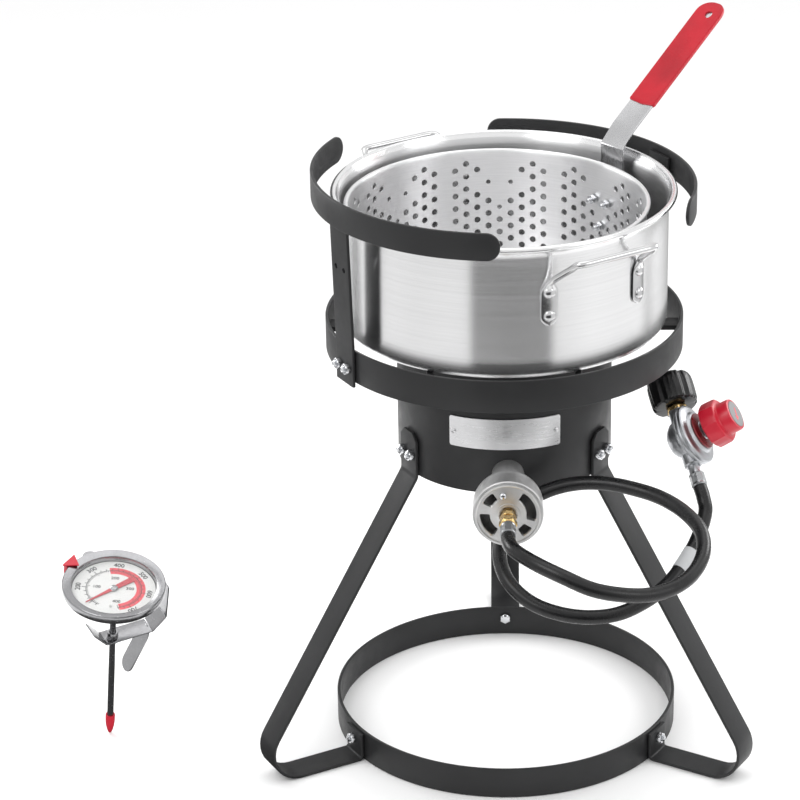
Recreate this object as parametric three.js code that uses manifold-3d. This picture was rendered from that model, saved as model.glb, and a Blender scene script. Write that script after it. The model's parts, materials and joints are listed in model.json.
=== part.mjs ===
// Outdoor fish and turkey fryer kit: a welded strip-steel stand with a propane burner, a hose with its
// regulator, a shallow aluminium pot, a lift-out basket and a dial thermometer.
// Millimetres, +Z up. Azimuths are degrees about the stand's axis, counted from +X towards +Y;
// the burner tube points to -Y.

import * as THREE from 'three';
import { mergeVertices } from 'three/addons/utils/BufferGeometryUtils.js';
import Module from 'manifold-3d';

const wasm = await Module();
wasm.setup();

// ---------------------------------------------------------------- driving dimensions

const GAP = 0.3;                       // play between touching pieces
const STRIP = 3;                       // thickness of every strip-steel piece
const STRIP_WIDTH = 30;

const FLOOR_RING = { radius: 167.6, height: 30.5 };
const TOP_RING = { radius: 169.3, bottom: 402.4, top: 433.8 };
const HOUSING = { radius: 102.3, wall: 2.5, bottom: 290, top: 411.7 };

const LEG_AZIMUTHS = { left: 210, right: 330, rear: 90 };
const LEG = { top: 333, bend: 289, footReach: 266, footBend: 29, boltHeight: 311, boltSpread: 16 };
const FOOT_BOLT_HEIGHT = 19;

const GUARD = { radius: 180, height: 26, corner: 11, facet: 6 };   // facet: degrees of each flat of the bend
const GUARDS = {
  left: { from: 150, to: 269, bottom: 554, upright: 211 },
  right: { from: -20, to: 95, bottom: 537.5, upright: 31 },
};
const UPRIGHT = { width: 32, bottom: 399, boltHeight: 416, boltSpread: 16, spareHoleHeight: 513 };

const BURNER = { x: 3, height: 310, faceY: -187, bellRadius: 32.5, neckRadius: 15 };
const AIR_WINDOWS = [[-15, 58], [122, 154], [177, 238], [301, 329]];  // degrees, seen from the front
const AIR_WINDOW_RADII = [16.8, 25.8];

const HOSE_DIAMETER = 14;
const HOSE_ROUTE = [                                 // two open loops from the burner to the regulator
  [3, -234.5, 310], [3.4, -245, 310], [9, -263, 310.5], [27, -283, 308], [51, -297, 302],
  [77, -302, 292], [104, -297, 284], [129, -285, 278], [152, -268, 277], [169, -246, 280],
  [179, -220, 287], [178, -193, 295], [165, -169, 302], [145, -149, 307], [122, -134, 309],
  [95, -123, 310], [68, -116, 307], [41, -116, 300], [16, -123, 288], [0, -140, 272],
  [-5, -161, 254], [3, -183, 239], [23, -199, 226], [49, -208, 219], [77, -208, 215],
  [104, -201, 215], [129, -188, 221], [150, -171, 230], [166, -151, 242], [179, -130, 256],
  [187.5, -106, 271], [186.3, -93.9, 280.8], [183.5, -84.8, 288],
];
const HOSE_PIECES = ['gas_hose', 'hose_ferrule_burner', 'flare_nut', 'hose_ferrule_regulator',
  'regulator_body', 'regulator_bonnet', 'inlet_nipple', 'regulator_knob', 'coupling_nut'];

const REGULATOR_AT = [171.5, -45, 319.4];           // middle of its gas passage
const INLET_DIRECTION = [-0.231, 0.764, 0.603];     // towards the cylinder nut
const KNOB_DIRECTION = [0.816, -0.185, 0.548];      // out of the diaphragm cover

const POT = { radius: 154, wall: 1.6, bottom: 428, rimTop: 558.7, rimRadius: 162 };
const POT_HANDLE = { azimuths: { front: 303.5, rear: 123.5 }, rod: 6.4, paddleSpread: 96.8,
  gripReach: 185.5, gripHalf: 42, gripHeight: 549, footHeight: 521 };

const BASKET = { radius: 139.8, wall: 1.8, bottom: 430.4, rimTop: 548, rimRadius: 143.2 };
const BASKET_HANDLE = { azimuth: 44, width: 29, sheet: 2, length: 181, slope: 36.5, elbow: [145, 562],
  hangHole: 4, holeFromEnd: 14 };
const BASKET_SHIFT = 8.8;                            // the bracket pushes the basket away from it
const BASKET_SCREWS = [[-8.7, 509], [8.7, 510], [0.5, 484]];   // along the rim, height
const BASKET_SCREW_HOLE = 2.6;
const GRIP = { start: 52, skin: 1.4 };

const THERMOMETER = { x: -393, y: -42, leanForward: 14, leanRight: 5.6,
  dialRadius: 40, length: 158, enlarged: 1.25 };     // a 100 mm dial, drawn from its 80 mm sister
const POINTER_TAIL = 42;                             // degrees on the dial; the fine end is opposite

// ---------------------------------------------------------------- finishes

const finish = (color, roughness, metalness) => () =>
  new THREE.MeshStandardMaterial({ color, roughness, metalness });

const blackPaint = finish(0x2b2b2c, 0.55, 0.2);
const castIron = finish(0x3a3a3a, 0.8, 0.5);
const castAluminium = finish(0xb9babb, 0.5, 0.9);
const spunAluminium = finish(0xcfd0d1, 0.32, 1.0);
const zincSteel = finish(0xc2c4c6, 0.3, 1.0);
const stainless = finish(0xb4b6b8, 0.25, 1.0);
const brass = finish(0xc59a45, 0.3, 1.0);
const hoseRubber = finish(0x1c1c1d, 0.5, 0.0);
const blackPlastic = finish(0x1d1e1f, 0.4, 0.0);
const redPlastic = finish(0xc8142c, 0.35, 0.0);
const whiteDial = finish(0xf0f0ee, 0.6, 0.0);
const clearGlass = finish(0xdfe6e8, 0.05, 0.0);

// ---------------------------------------------------------------- geometry helpers

const rad = THREE.MathUtils.degToRad;

// One welded closed skin with its faces pointing out.
function closed(geometry) {
  const bare = geometry.clone();
  bare.deleteAttribute('normal');
  bare.deleteAttribute('uv');
  const skin = mergeVertices(bare, 1e-3);
  const at = skin.attributes.position;
  const faces = [];
  const [a, b, c] = [new THREE.Vector3(), new THREE.Vector3(), new THREE.Vector3()];
  let volume = 0;
  for (let i = 0; i < skin.index.count; i += 3) {
    const [p, q, r] = [0, 1, 2].map((k) => skin.index.getX(i + k));
    if (p === q || q === r || r === p) continue;
    faces.push([p, q, r]);
    a.fromBufferAttribute(at, p);
    b.fromBufferAttribute(at, q);
    c.fromBufferAttribute(at, r);
    volume += a.dot(b.cross(c));
  }
  skin.setIndex(faces.flatMap(([p, q, r]) => (volume > 0 ? [p, q, r] : [p, r, q])));
  return skin;
}

function toSolid(geometry) {
  const skin = closed(geometry);
  const vertProperties = new Float32Array(skin.attributes.position.array);
  const triVerts = new Uint32Array(skin.index.array);
  return new wasm.Manifold(new wasm.Mesh({ numProp: 3, vertProperties, triVerts }));
}

function toGeometry(solid) {
  const { vertProperties, triVerts } = solid.getMesh();
  const geometry = new THREE.BufferGeometry();
  geometry.setAttribute('position', new THREE.BufferAttribute(vertProperties, 3));
  geometry.setIndex(new THREE.BufferAttribute(triVerts, 1));
  return geometry;
}

const cut = (body, tools) => toGeometry(tools.reduce((s, t) => s.subtract(toSolid(t)), toSolid(body)));
const join = (pieces) => toGeometry(pieces.map(toSolid).reduce((s, t) => s.add(t)));

// Turned shape about +Z from [radius, z] points.
const turned = (profile, segments) =>
  new THREE.LatheGeometry(profile.map(([r, z]) => new THREE.Vector2(r, z)), segments)
    .rotateX(Math.PI / 2);

const band = (radius, thickness, bottom, top, segments) => turned([
  [radius - thickness, bottom], [radius, bottom], [radius, top],
  [radius - thickness, top], [radius - thickness, bottom],
], segments);

// Round or prismatic bar along +Z from one height to another.
const barZ = (radius, from, to, sides) =>
  new THREE.CylinderGeometry(radius, radius, to - from, sides)
    .rotateX(Math.PI / 2).translate(0, 0, (from + to) / 2);

const barX = (radius, from, to, sides, y = 0, z = 0) =>
  barZ(radius, from, to, sides).rotateY(Math.PI / 2).translate(0, y, z);

const slab = (x, y, z) => {
  const [[x0, x1], [y0, y1], [z0, z1]] = [x, y, z];
  return new THREE.BoxGeometry(x1 - x0, y1 - y0, z1 - z0)
    .translate((x0 + x1) / 2, (y0 + y1) / 2, (z0 + z1) / 2);
};

// Flat outline in the XY plane, given a thickness along +Z.
const plate = (shape, depth, curveSegments = 8) =>
  new THREE.ExtrudeGeometry(shape, { depth, bevelEnabled: false, curveSegments });

function roundedRectangle(halfX, halfY, corner) {
  const shape = new THREE.Shape();
  const [x, y] = [halfX - corner, halfY - corner];
  shape.absarc(x, y, corner, 0, Math.PI / 2, false);
  shape.absarc(-x, y, corner, Math.PI / 2, Math.PI, false);
  shape.absarc(-x, -y, corner, Math.PI, 1.5 * Math.PI, false);
  shape.absarc(x, -y, corner, 1.5 * Math.PI, 2 * Math.PI, false);
  shape.closePath();
  return shape;
}

// Corner list [x, y, bend radius] turned into a polyline with its bends rounded.
function rounded(corners, steps = 6) {
  const points = [];
  corners.forEach(([x, y, radius = 0], i) => {
    const here = new THREE.Vector2(x, y);
    if (!radius) {
      points.push(here);
      return;
    }
    const back = new THREE.Vector2(corners[i - 1][0], corners[i - 1][1]).sub(here).normalize();
    const ahead = new THREE.Vector2(corners[i + 1][0], corners[i + 1][1]).sub(here).normalize();
    const half = Math.acos(THREE.MathUtils.clamp(back.dot(ahead), -1, 1)) / 2;
    const centre = back.clone().add(ahead).normalize().multiplyScalar(radius / Math.sin(half)).add(here);
    const start = back.clone().multiplyScalar(radius / Math.tan(half)).add(here);
    const end = ahead.clone().multiplyScalar(radius / Math.tan(half)).add(here);
    const from = start.clone().sub(centre).angle();
    let sweep = end.clone().sub(centre).angle() - from;
    if (sweep > Math.PI) sweep -= 2 * Math.PI;
    if (sweep < -Math.PI) sweep += 2 * Math.PI;
    for (let k = 0; k <= steps; k += 1) {
      const angle = from + (sweep * k) / steps;
      points.push(new THREE.Vector2(Math.cos(angle), Math.sin(angle)).multiplyScalar(radius).add(centre));
    }
  });
  return points;
}

// A strip bent along a centreline in the XZ plane, its width lying along Y.
function bentStrip(centreline, width, thickness) {
  const side = (sign) => centreline.map((point, i) => {
    const before = centreline[Math.max(i - 1, 0)];
    const after = centreline[Math.min(i + 1, centreline.length - 1)];
    const entering = point.clone().sub(before).normalize();
    const leaving = after.clone().sub(point).normalize();
    const along = entering.clone().add(leaving).normalize();
    const turn = Math.max(along.dot(i ? entering : leaving), 0.5);
    const reach = (sign * thickness) / 2 / turn;
    return new THREE.Vector2(point.x - along.y * reach, point.y + along.x * reach);
  });
  const outline = new THREE.Shape([...side(1), ...side(-1).reverse()]);
  return plate(outline, width).rotateX(Math.PI / 2).translate(0, width / 2, 0);
}

// A band curved about the Z axis with rounded free ends.
function guardBand(radius, thickness, from, to, bottom, height, corner) {
  const cornerAngle = THREE.MathUtils.radToDeg(corner / radius);
  const stations = [];
  const steps = 3;
  for (let k = 0; k < steps; k += 1) {
    const turn = (Math.PI / 2) * (k / steps);
    stations.push([from + cornerAngle * (1 - Math.cos(turn)), corner * (1 - Math.sin(turn))]);
  }
  const bends = Math.round((to - from) / GUARD.facet);
  for (let k = 0; k <= bends; k += 1) {
    stations.push([from + cornerAngle + ((to - from - 2 * cornerAngle) * k) / bends, 0]);
  }
  for (let k = steps - 1; k >= 0; k -= 1) {
    const turn = (Math.PI / 2) * (k / steps);
    stations.push([to - cornerAngle * (1 - Math.cos(turn)), corner * (1 - Math.sin(turn))]);
  }
  return lofted(stations.map(([azimuth, drop]) => {
    const low = bottom + drop;
    const high = bottom + height - drop;
    return [[radius - thickness, low], [radius, low], [radius, high], [radius - thickness, high]]
      .map(([r, z]) => new THREE.Vector3(r * Math.cos(rad(azimuth)), r * Math.sin(rad(azimuth)), z));
  }));
}

// Skin over matching rings of points, closed by a flat cap at each end.
function lofted(sections) {
  const count = sections[0].length;
  const index = [];
  for (let s = 0; s + 1 < sections.length; s += 1) {
    for (let k = 0; k < count; k += 1) {
      const a = s * count + k;
      const b = s * count + ((k + 1) % count);
      index.push(a, b, b + count, a, b + count, a + count);
    }
  }
  const last = (sections.length - 1) * count;
  for (let k = 1; k + 1 < count; k += 1) {
    index.push(0, k + 1, k, last, last + k, last + k + 1);
  }
  const geometry = new THREE.BufferGeometry().setFromPoints(sections.flat());
  geometry.setIndex(index);
  return geometry;
}

// Round rod or tube skin along a curve.
function rod(points, diameter, sides, steps, tension = 0.5) {
  const path = new THREE.CatmullRomCurve3(points.map((p) => new THREE.Vector3(...p)), false,
    'catmullrom', tension);
  const section = new THREE.Shape();
  for (let k = 0; k < sides; k += 1) {
    const turn = (2 * Math.PI * k) / sides;
    const [x, y] = [(Math.cos(turn) * diameter) / 2, (Math.sin(turn) * diameter) / 2];
    if (k) section.lineTo(x, y);
    else section.moveTo(x, y);
  }
  return new THREE.ExtrudeGeometry(section, { steps, extrudePath: path, bevelEnabled: false });
}

// ---------------------------------------------------------------- assembly helpers

const kit = new THREE.Group();
const stand = new THREE.Group();
kit.add(stand);

function part(name, geometry, material, parent = stand) {
  const mesh = new THREE.Mesh(closed(geometry), material());
  mesh.name = name;
  parent.add(mesh);
  return mesh;
}

// A group whose +X looks outwards at an azimuth, with +Y along the rim and +Z up.
function radialGroup(azimuth, parent = stand) {
  const group = new THREE.Group();
  group.rotation.z = rad(azimuth);
  parent.add(group);
  return group;
}

const atAzimuth = (geometry, azimuth) => geometry.rotateZ(rad(azimuth));

// Drill for a radial hole at an azimuth.
const radialDrill = (azimuth, y, z, from, to, radius = 3.5) =>
  atAzimuth(barX(radius, from, to, 8, y, z), azimuth);

const pair = (spread) => [-spread / 2, spread / 2];

// Hexagon bolt along +X: head inside, nut and rounded end outside the clamped stack.
function boltGeometry(stackFrom, stackTo) {
  const [flats, shank] = [5.6, 3];
  const headTo = stackFrom - GAP;
  const nutFrom = stackTo + GAP;
  return turned([
    [0, headTo - 4], [flats, headTo - 4], [flats, headTo], [shank, headTo], [shank, nutFrom],
    [flats, nutFrom], [flats, nutFrom + 5], [shank, nutFrom + 5], [shank, nutFrom + 7], [0, nutFrom + 7.6],
  ], 6).rotateY(Math.PI / 2);
}

// ---------------------------------------------------------------- stand frame

const LEG_BOLT_SIDES = pair(LEG.boltSpread);
const LEG_INNER = HOUSING.radius + GAP;

function buildHousing() {
  const shell = band(HOUSING.radius, HOUSING.wall, HOUSING.bottom, HOUSING.top, 40);
  const legHoles = Object.values(LEG_AZIMUTHS).flatMap((azimuth) =>
    LEG_BOLT_SIDES.map((y) => radialDrill(azimuth, y, LEG.boltHeight, 90, 115)));
  const tubeHole = barX(BURNER.neckRadius + 0.6, 80, 120, 24).rotateZ(rad(-90))
    .translate(BURNER.x, 0, BURNER.height);
  part('burner_housing', cut(shell, [...legHoles, tubeHole]), blackPaint);
}

function buildRings() {
  const floorRing = band(FLOOR_RING.radius, STRIP, 0, FLOOR_RING.height, 48);
  const footHoles = Object.values(LEG_AZIMUTHS).map((azimuth) =>
    radialDrill(azimuth, 0, FOOT_BOLT_HEIGHT, 150, 180));
  part('floor_ring', cut(floorRing, footHoles), blackPaint);

  const topRing = band(TOP_RING.radius, STRIP, TOP_RING.bottom, TOP_RING.top, 48);
  const uprightHoles = Object.values(GUARDS).flatMap(({ upright }) =>
    pair(UPRIGHT.boltSpread).map((y) => radialDrill(upright, y, UPRIGHT.boltHeight, 150, 185)));
  part('top_ring', cut(topRing, uprightHoles), blackPaint);
}

function buildLeg(side, azimuth) {
  const group = radialGroup(azimuth);
  const wallLine = LEG_INNER + STRIP / 2;
  const floorLine = STRIP / 2;
  const bendX = LEG.footReach - STRIP / 2 - LEG.footBend;
  const bendZ = floorLine + LEG.footBend;
  const toBend = Math.hypot(bendX - wallLine, LEG.bend - bendZ);
  const splay = Math.atan2(bendX - wallLine, LEG.bend - bendZ) + Math.asin(LEG.footBend / toBend);
  const heelX = wallLine + (LEG.bend - floorLine) * Math.tan(splay);
  const tabLine = FLOOR_RING.radius + GAP + STRIP / 2;
  const centreline = rounded([
    [wallLine, LEG.top], [wallLine, LEG.bend, 10], [heelX, floorLine, LEG.footBend],
    [tabLine, floorLine, 3.5], [tabLine, 28],
  ], 5);
  const strip = bentStrip(centreline, STRIP_WIDTH, STRIP);
  const chamfer = (sign) => slab([-10, 10], [-20, 20], [0, 20]).rotateX(sign * rad(-45))
    .translate(wallLine, sign * (STRIP_WIDTH / 2 - 3.5), LEG.top - 3.5);
  const holes = LEG_BOLT_SIDES.map((y) => barX(3.5, 90, 120, 8, y, LEG.boltHeight));
  holes.push(barX(3.5, 160, 180, 8, 0, FOOT_BOLT_HEIGHT));
  part(`leg_${side}`, cut(strip, [chamfer(1), chamfer(-1), ...holes]), blackPaint, group);

  LEG_BOLT_SIDES.forEach((y, i) => {
    const bolt = part(`leg_bolt_${side}_${i + 1}`,
      boltGeometry(HOUSING.radius - HOUSING.wall - 0.9, LEG_INNER + STRIP), zincSteel, group);
    bolt.position.set(0, y, LEG.boltHeight);
  });
  const footBolt = part(`foot_bolt_${side}`,
    boltGeometry(FLOOR_RING.radius - STRIP - 0.4, tabLine + STRIP / 2), zincSteel, group);
  footBolt.position.set(0, 0, FOOT_BOLT_HEIGHT);
}

// Two bars carry the pot across the ring; a short arm ties each bar to the ring's side.
const SUPPORT_X = 68;
const SUPPORT_WIDTH = 6;

function buildSupports() {
  const [low, high] = [HOUSING.top + GAP, POT.bottom - GAP];
  const inner = TOP_RING.radius - STRIP - 0.6;
  const reach = Math.sqrt(inner ** 2 - (SUPPORT_X + SUPPORT_WIDTH / 2) ** 2);
  const armEnd = Math.sqrt(inner ** 2 - 10 ** 2);
  [['left', -1], ['right', 1]].forEach(([side, sign]) => {
    const bar = slab([-SUPPORT_WIDTH / 2, SUPPORT_WIDTH / 2], [-reach, reach], [low, high]);
    part(`support_bar_${side}`, bar, blackPaint).position.x = sign * SUPPORT_X;
    const arm = slab([SUPPORT_X + SUPPORT_WIDTH / 2 + GAP, armEnd], [-10, 10], [416.5, 421.5]);
    part(`side_arm_${side}`, sign < 0 ? arm.rotateZ(Math.PI) : arm, blackPaint);
  });
}

function buildGuard(side, { from, to, bottom, upright }) {
  part(`pot_guard_${side}`,
    guardBand(GUARD.radius, STRIP, from, to, bottom, GUARD.height, GUARD.corner), blackPaint);
  const group = radialGroup(upright);
  const footLine = TOP_RING.radius + GAP + STRIP / 2;
  const guardInside = (GUARD.radius - STRIP) * Math.cos(rad(GUARD.facet / 2));
  const headLine = Math.sqrt(guardInside ** 2 - (UPRIGHT.width / 2) ** 2) - GAP - STRIP / 2;
  const centreline = rounded([
    [footLine, UPRIGHT.bottom], [footLine, TOP_RING.top + 4, 30],
    [headLine, bottom - 6, 30], [headLine, bottom + GUARD.height - 6],
  ], 3);
  const holes = pair(UPRIGHT.boltSpread).flatMap((y) => [
    barX(3.5, 160, 190, 8, y, UPRIGHT.boltHeight),
    barX(2.6, 160, 190, 8, y * 0.92, UPRIGHT.spareHoleHeight + bottom - GUARDS.left.bottom),
  ]);
  part(`guard_upright_${side}`, cut(bentStrip(centreline, UPRIGHT.width, STRIP), holes),
    blackPaint, group);
  pair(UPRIGHT.boltSpread).forEach((y, i) => {
    const bolt = part(`upright_bolt_${side}_${i + 1}`,
      boltGeometry(TOP_RING.radius - STRIP - 0.6, footLine + STRIP / 2), zincSteel, group);
    bolt.position.set(0, y, UPRIGHT.boltHeight);
  });
}

function buildNameplate() {
  const [from, to, bottom, top] = [240.4, 300, 335.5, 366];
  const radius = HOUSING.radius + GAP + 1.2;
  const stations = [];
  for (let k = 0; k <= 10; k += 1) {
    const azimuth = rad(from + ((to - from) * k) / 10);
    stations.push([[radius - 1, bottom], [radius, bottom], [radius, top], [radius - 1, top]]
      .map(([r, z]) => new THREE.Vector3(r * Math.cos(azimuth), r * Math.sin(azimuth), z)));
  }
  const rivets = [from + 2.4, to - 2.4].map((azimuth) =>
    radialDrill(azimuth, 0, (bottom + top) / 2, radius - 0.6, radius + 1, 2.2));
  part('nameplate', join([lofted(stations), ...rivets]), stainless);
}

// ---------------------------------------------------------------- burner

// The burner train is drawn along +Z of a group that looks towards -Y.
const burnerLine = new THREE.Group();
burnerLine.position.set(BURNER.x, 0, BURNER.height);
burnerLine.rotation.x = Math.PI / 2;
stand.add(burnerLine);
const FACE = -BURNER.faceY;                          // distance of the bell's front face

function windowSector([from, to], depthFrom, depthTo) {
  const [inner, outer] = AIR_WINDOW_RADII;
  const shape = new THREE.Shape();
  shape.absarc(0, 0, outer, rad(from), rad(to), false);
  shape.absarc(0, 0, inner, rad(to), rad(from), true);
  shape.closePath();
  return plate(shape, depthTo - depthFrom, 3).translate(0, 0, depthFrom);
}

function buildBurner() {
  const { neckRadius: neck, bellRadius: bell } = BURNER;
  const profile = [
    [neck - 3, 32], [neck, 32], [neck, 138], [19, 143], [26, 150], [31, 159], [bell, 166],
    [bell, FACE], [5, FACE], [5, FACE - 3.5], [bell - 3, FACE - 3.5], [bell - 3, 167], [24, 156],
    [neck - 3, 143], [neck - 3, 32],
  ];
  const shell = cut(turned(profile, 24), AIR_WINDOWS.map((w) => windowSector(w, FACE - 6, FACE + 2)));
  const fins = [-1, 1].map((sign) => slab(
    [sign > 0 ? neck - 1.5 : -neck - 3.5, sign > 0 ? neck + 3.5 : -neck + 1.5], [-1.5, 1.5], [106, 144]));
  part('burner_tube', join([shell, ...fins]), castAluminium, burnerLine);

  const disc = turned([[8.4, FACE + GAP], [30, FACE + GAP], [30, FACE + 1.8], [8.4, FACE + 1.8],
    [8.4, FACE + GAP]], 24);
  const screwAt = [19.7 * Math.cos(rad(104)), 19.7 * Math.sin(rad(104))];
  const screwHole = barZ(2.1, FACE - 1, FACE + 3, 10).translate(...screwAt, 0);
  const windows = AIR_WINDOWS.map((w) => windowSector(w, FACE - 1, FACE + 4));
  part('air_shutter', cut(disc, [screwHole, ...windows]), castAluminium, burnerLine);
  part('shutter_screw', turned([[0, FACE + 0.4], [1.7, FACE + 0.4], [1.7, FACE + 2.1], [3.4, FACE + 2.1],
    [3.2, FACE + 3.6], [1.8, FACE + 4.6], [0, FACE + 4.8]], 12).translate(...screwAt, 0),
  zincSteel, burnerLine);

  part('orifice_fitting', join([
    barZ(4.5, FACE - 12, FACE + 4, 12), barZ(7.6, FACE + GAP, FACE + 12, 6),
    barZ(5, FACE + 11, FACE + 15, 12),
  ]), brass, burnerLine);
  part('flare_nut', turned([[0, FACE + 15.3], [7, FACE + 15.3], [8.4, FACE + 17], [8.4, FACE + 25],
    [7, FACE + 27], [0, FACE + 27]], 6), brass, burnerLine);
  part('hose_ferrule_burner', barZ(7.5, FACE + 27.3, FACE + 46.7, 12), stainless, burnerLine);
}

function buildBurnerHead() {
  const head = turned([[0, 327], [22, 327], [50, 334], [55, 340], [55, 352], [46, 358], [38, 354],
    [30, 359], [16, 359], [10, 355], [0, 355]], 24);
  const boss = barX(16, -22, 31.7, 16).rotateZ(rad(-90)).translate(BURNER.x, 0, BURNER.height);
  const socket = barX(11, 12, 40, 16).rotateZ(rad(-90)).translate(BURNER.x, 0, BURNER.height);
  const boltHole = barZ(4.6, 280, 303, 12);
  part('burner_head', cut(join([head, boss, barZ(20, 300, 330, 20)]), [socket, boltHole]), castIron);
  const strap = slab([-98.3, 98.3], [-12.5, 12.5], [290.4, 293.2]);
  part('burner_strap', join([strap, barZ(7.4, 286, 291, 6), barZ(4, 290, 300, 12)]), blackPaint);
}

// ---------------------------------------------------------------- hose and regulator

function buildHose() {
  part('gas_hose', rod(HOSE_ROUTE, HOSE_DIAMETER, 8, 44), hoseRubber);
}

function regulatorGroup() {
  const inlet = new THREE.Vector3(...INLET_DIRECTION).normalize();
  const knob = new THREE.Vector3(...KNOB_DIRECTION);
  knob.addScaledVector(inlet, -knob.dot(inlet)).normalize();
  const group = new THREE.Group();
  group.position.set(...REGULATOR_AT);
  group.quaternion.setFromRotationMatrix(
    new THREE.Matrix4().makeBasis(knob, new THREE.Vector3().crossVectors(inlet, knob), inlet));
  stand.add(group);
  return group;
}

// Local axes: +Z towards the cylinder inlet, +X out through the diaphragm cover and knob.
function buildRegulator() {
  const group = regulatorGroup();
  const turnedX = (profile, segments) => turned(profile, segments).rotateY(Math.PI / 2);

  part('regulator_body', join([
    turnedX([[0, -14], [13, -14], [18, -9], [22, 1], [29, 5], [29.5, 9], [0, 9]], 24),
    barZ(8.8, -30, 30, 16), barZ(6.6, -38, -26, 12),
  ]), castAluminium, group);
  part('regulator_bonnet', turnedX([[0, 9.3], [29.5, 9.3], [29.5, 12.5], [27.5, 14], [21, 15],
    [19, 17.5], [10, 18.5], [8, 21], [0, 21]], 24), castAluminium, group);
  part('inlet_nipple', turned([[0, 30.3], [10.5, 30.3], [10.5, 33], [7.6, 34], [7.6, 39.6],
    [10.4, 39.6], [10.4, 42.6], [7.6, 43.6], [7.6, 58], [5, 61], [0, 61]], 16), brass, group);
  part('hose_ferrule_regulator', barZ(7.5, -51.7, -38.3, 12), stainless, group);

  const octagon = (radius, from, to) => barX(radius, from, to, 8);
  part('regulator_knob', join([
    barX(5.5, 21.3, 30, 12), octagon(22.6, 27, 43.5), barX(16.2, 43, 56, 24),
  ]), redPlastic, group);

  const grip = new THREE.Shape();
  const lobes = 6;
  for (let k = 0; k < lobes; k += 1) {
    [[-21, 22], [-7, 22.4], [7, 22.4], [21, 22], [26, 19.6], [34, 19.6]].forEach(([turn, r], i) => {
      const angle = rad((360 / lobes) * k + turn);
      const point = [r * Math.cos(angle), r * Math.sin(angle)];
      if (k || i) grip.lineTo(...point);
      else grip.moveTo(...point);
    });
  }
  part('coupling_nut', cut(plate(grip, 30).translate(0, 0, 35), [
    barZ(9, 30, 45, 20), barZ(15.5, 39, 70, 24),
  ]), blackPlastic, group);
}

// ---------------------------------------------------------------- pot

function buildPot() {
  const { radius, wall, bottom, rimTop, rimRadius } = POT;
  const inside = radius - wall;
  part('pot', turned([
    [0, bottom], [radius - 8, bottom], [radius - 3, bottom + 2], [radius, bottom + 8],
    [radius, rimTop - 13], [radius + 2.2, rimTop - 7], [rimRadius, rimTop - 5],
    [rimRadius, rimTop - 2], [rimRadius - 2.4, rimTop], [radius + 2.4, rimTop - 0.6],
    [inside + 0.4, rimTop - 14], [inside, bottom + 8], [inside - 7, bottom + wall], [0, bottom + wall],
  ], 44), spunAluminium);
}

function buildPotHandle(side, azimuth) {
  const group = radialGroup(azimuth);
  const { rod: diameter, paddleSpread, gripReach, gripHalf, gripHeight, footHeight } = POT_HANDLE;
  const sideTurn = Math.asin(paddleSpread / 2 / POT.radius);
  const wallX = POT.radius * Math.cos(sideTurn);
  const foot = (sign) => [wallX + 3.6, (sign * paddleSpread) / 2, footHeight];
  const bend = (sign) => [
    [wallX + 8, (sign * (paddleSpread - 1)) / 2, footHeight + 5],
    [gripReach - 8, sign * (gripHalf + 1.5), gripHeight - 4],
    [gripReach - 1, sign * (gripHalf - 2.5), gripHeight],
    [gripReach, sign * (gripHalf - 8), gripHeight],
  ];
  const route = [foot(-1), ...bend(-1), ...bend(1).reverse(), foot(1)];
  const pieces = [rod(route, diameter, 6, 22)];
  [-1, 1].forEach((sign) => {
    const turn = THREE.MathUtils.radToDeg(sideTurn) * sign;
    const face = POT.radius + GAP;
    const paddle = plate(roundedRectangle(8.2, 21.5, 6), 2.4, 2).rotateX(Math.PI / 2)
      .rotateZ(rad(90)).translate(face, 0, 502);
    const heads = [490, 512.5].map((z) => turned([[0, 0], [5.7, 0], [4.6, 2.2], [0, 3.2]], 8)
      .rotateY(Math.PI / 2).translate(face + 2, 0, z));
    [paddle, ...heads].forEach((piece) => pieces.push(atAzimuth(piece, turn)));
  });
  part(`pot_handle_${side}`, join(pieces), stainless, group);
}

// ---------------------------------------------------------------- basket

function buildBasket() {
  const { radius, wall, bottom, rimTop, rimRadius } = BASKET;
  const inside = radius - wall;
  const shell = turned([
    [0, bottom], [radius - 9, bottom], [radius - 2.6, bottom + 3], [radius, bottom + 9],
    [radius, rimTop - 5.5], [rimRadius, rimTop - 4.6], [rimRadius, rimTop - 1.6],
    [rimRadius - 1.8, rimTop], [inside, rimTop - 1], [inside, bottom + 9],
    [inside - 7.5, bottom + wall], [0, bottom + wall],
  ], 44);
  const group = radialGroup(BASKET_HANDLE.azimuth);
  const holes = BASKET_SCREWS.map(([y, z]) => barX(BASKET_SCREW_HOLE, radius - 8, radius + 8, 8, y, z));
  part('basket', cut(shell, holes), spunAluminium, group).position.x = -BASKET_SHIFT;
}

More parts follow.
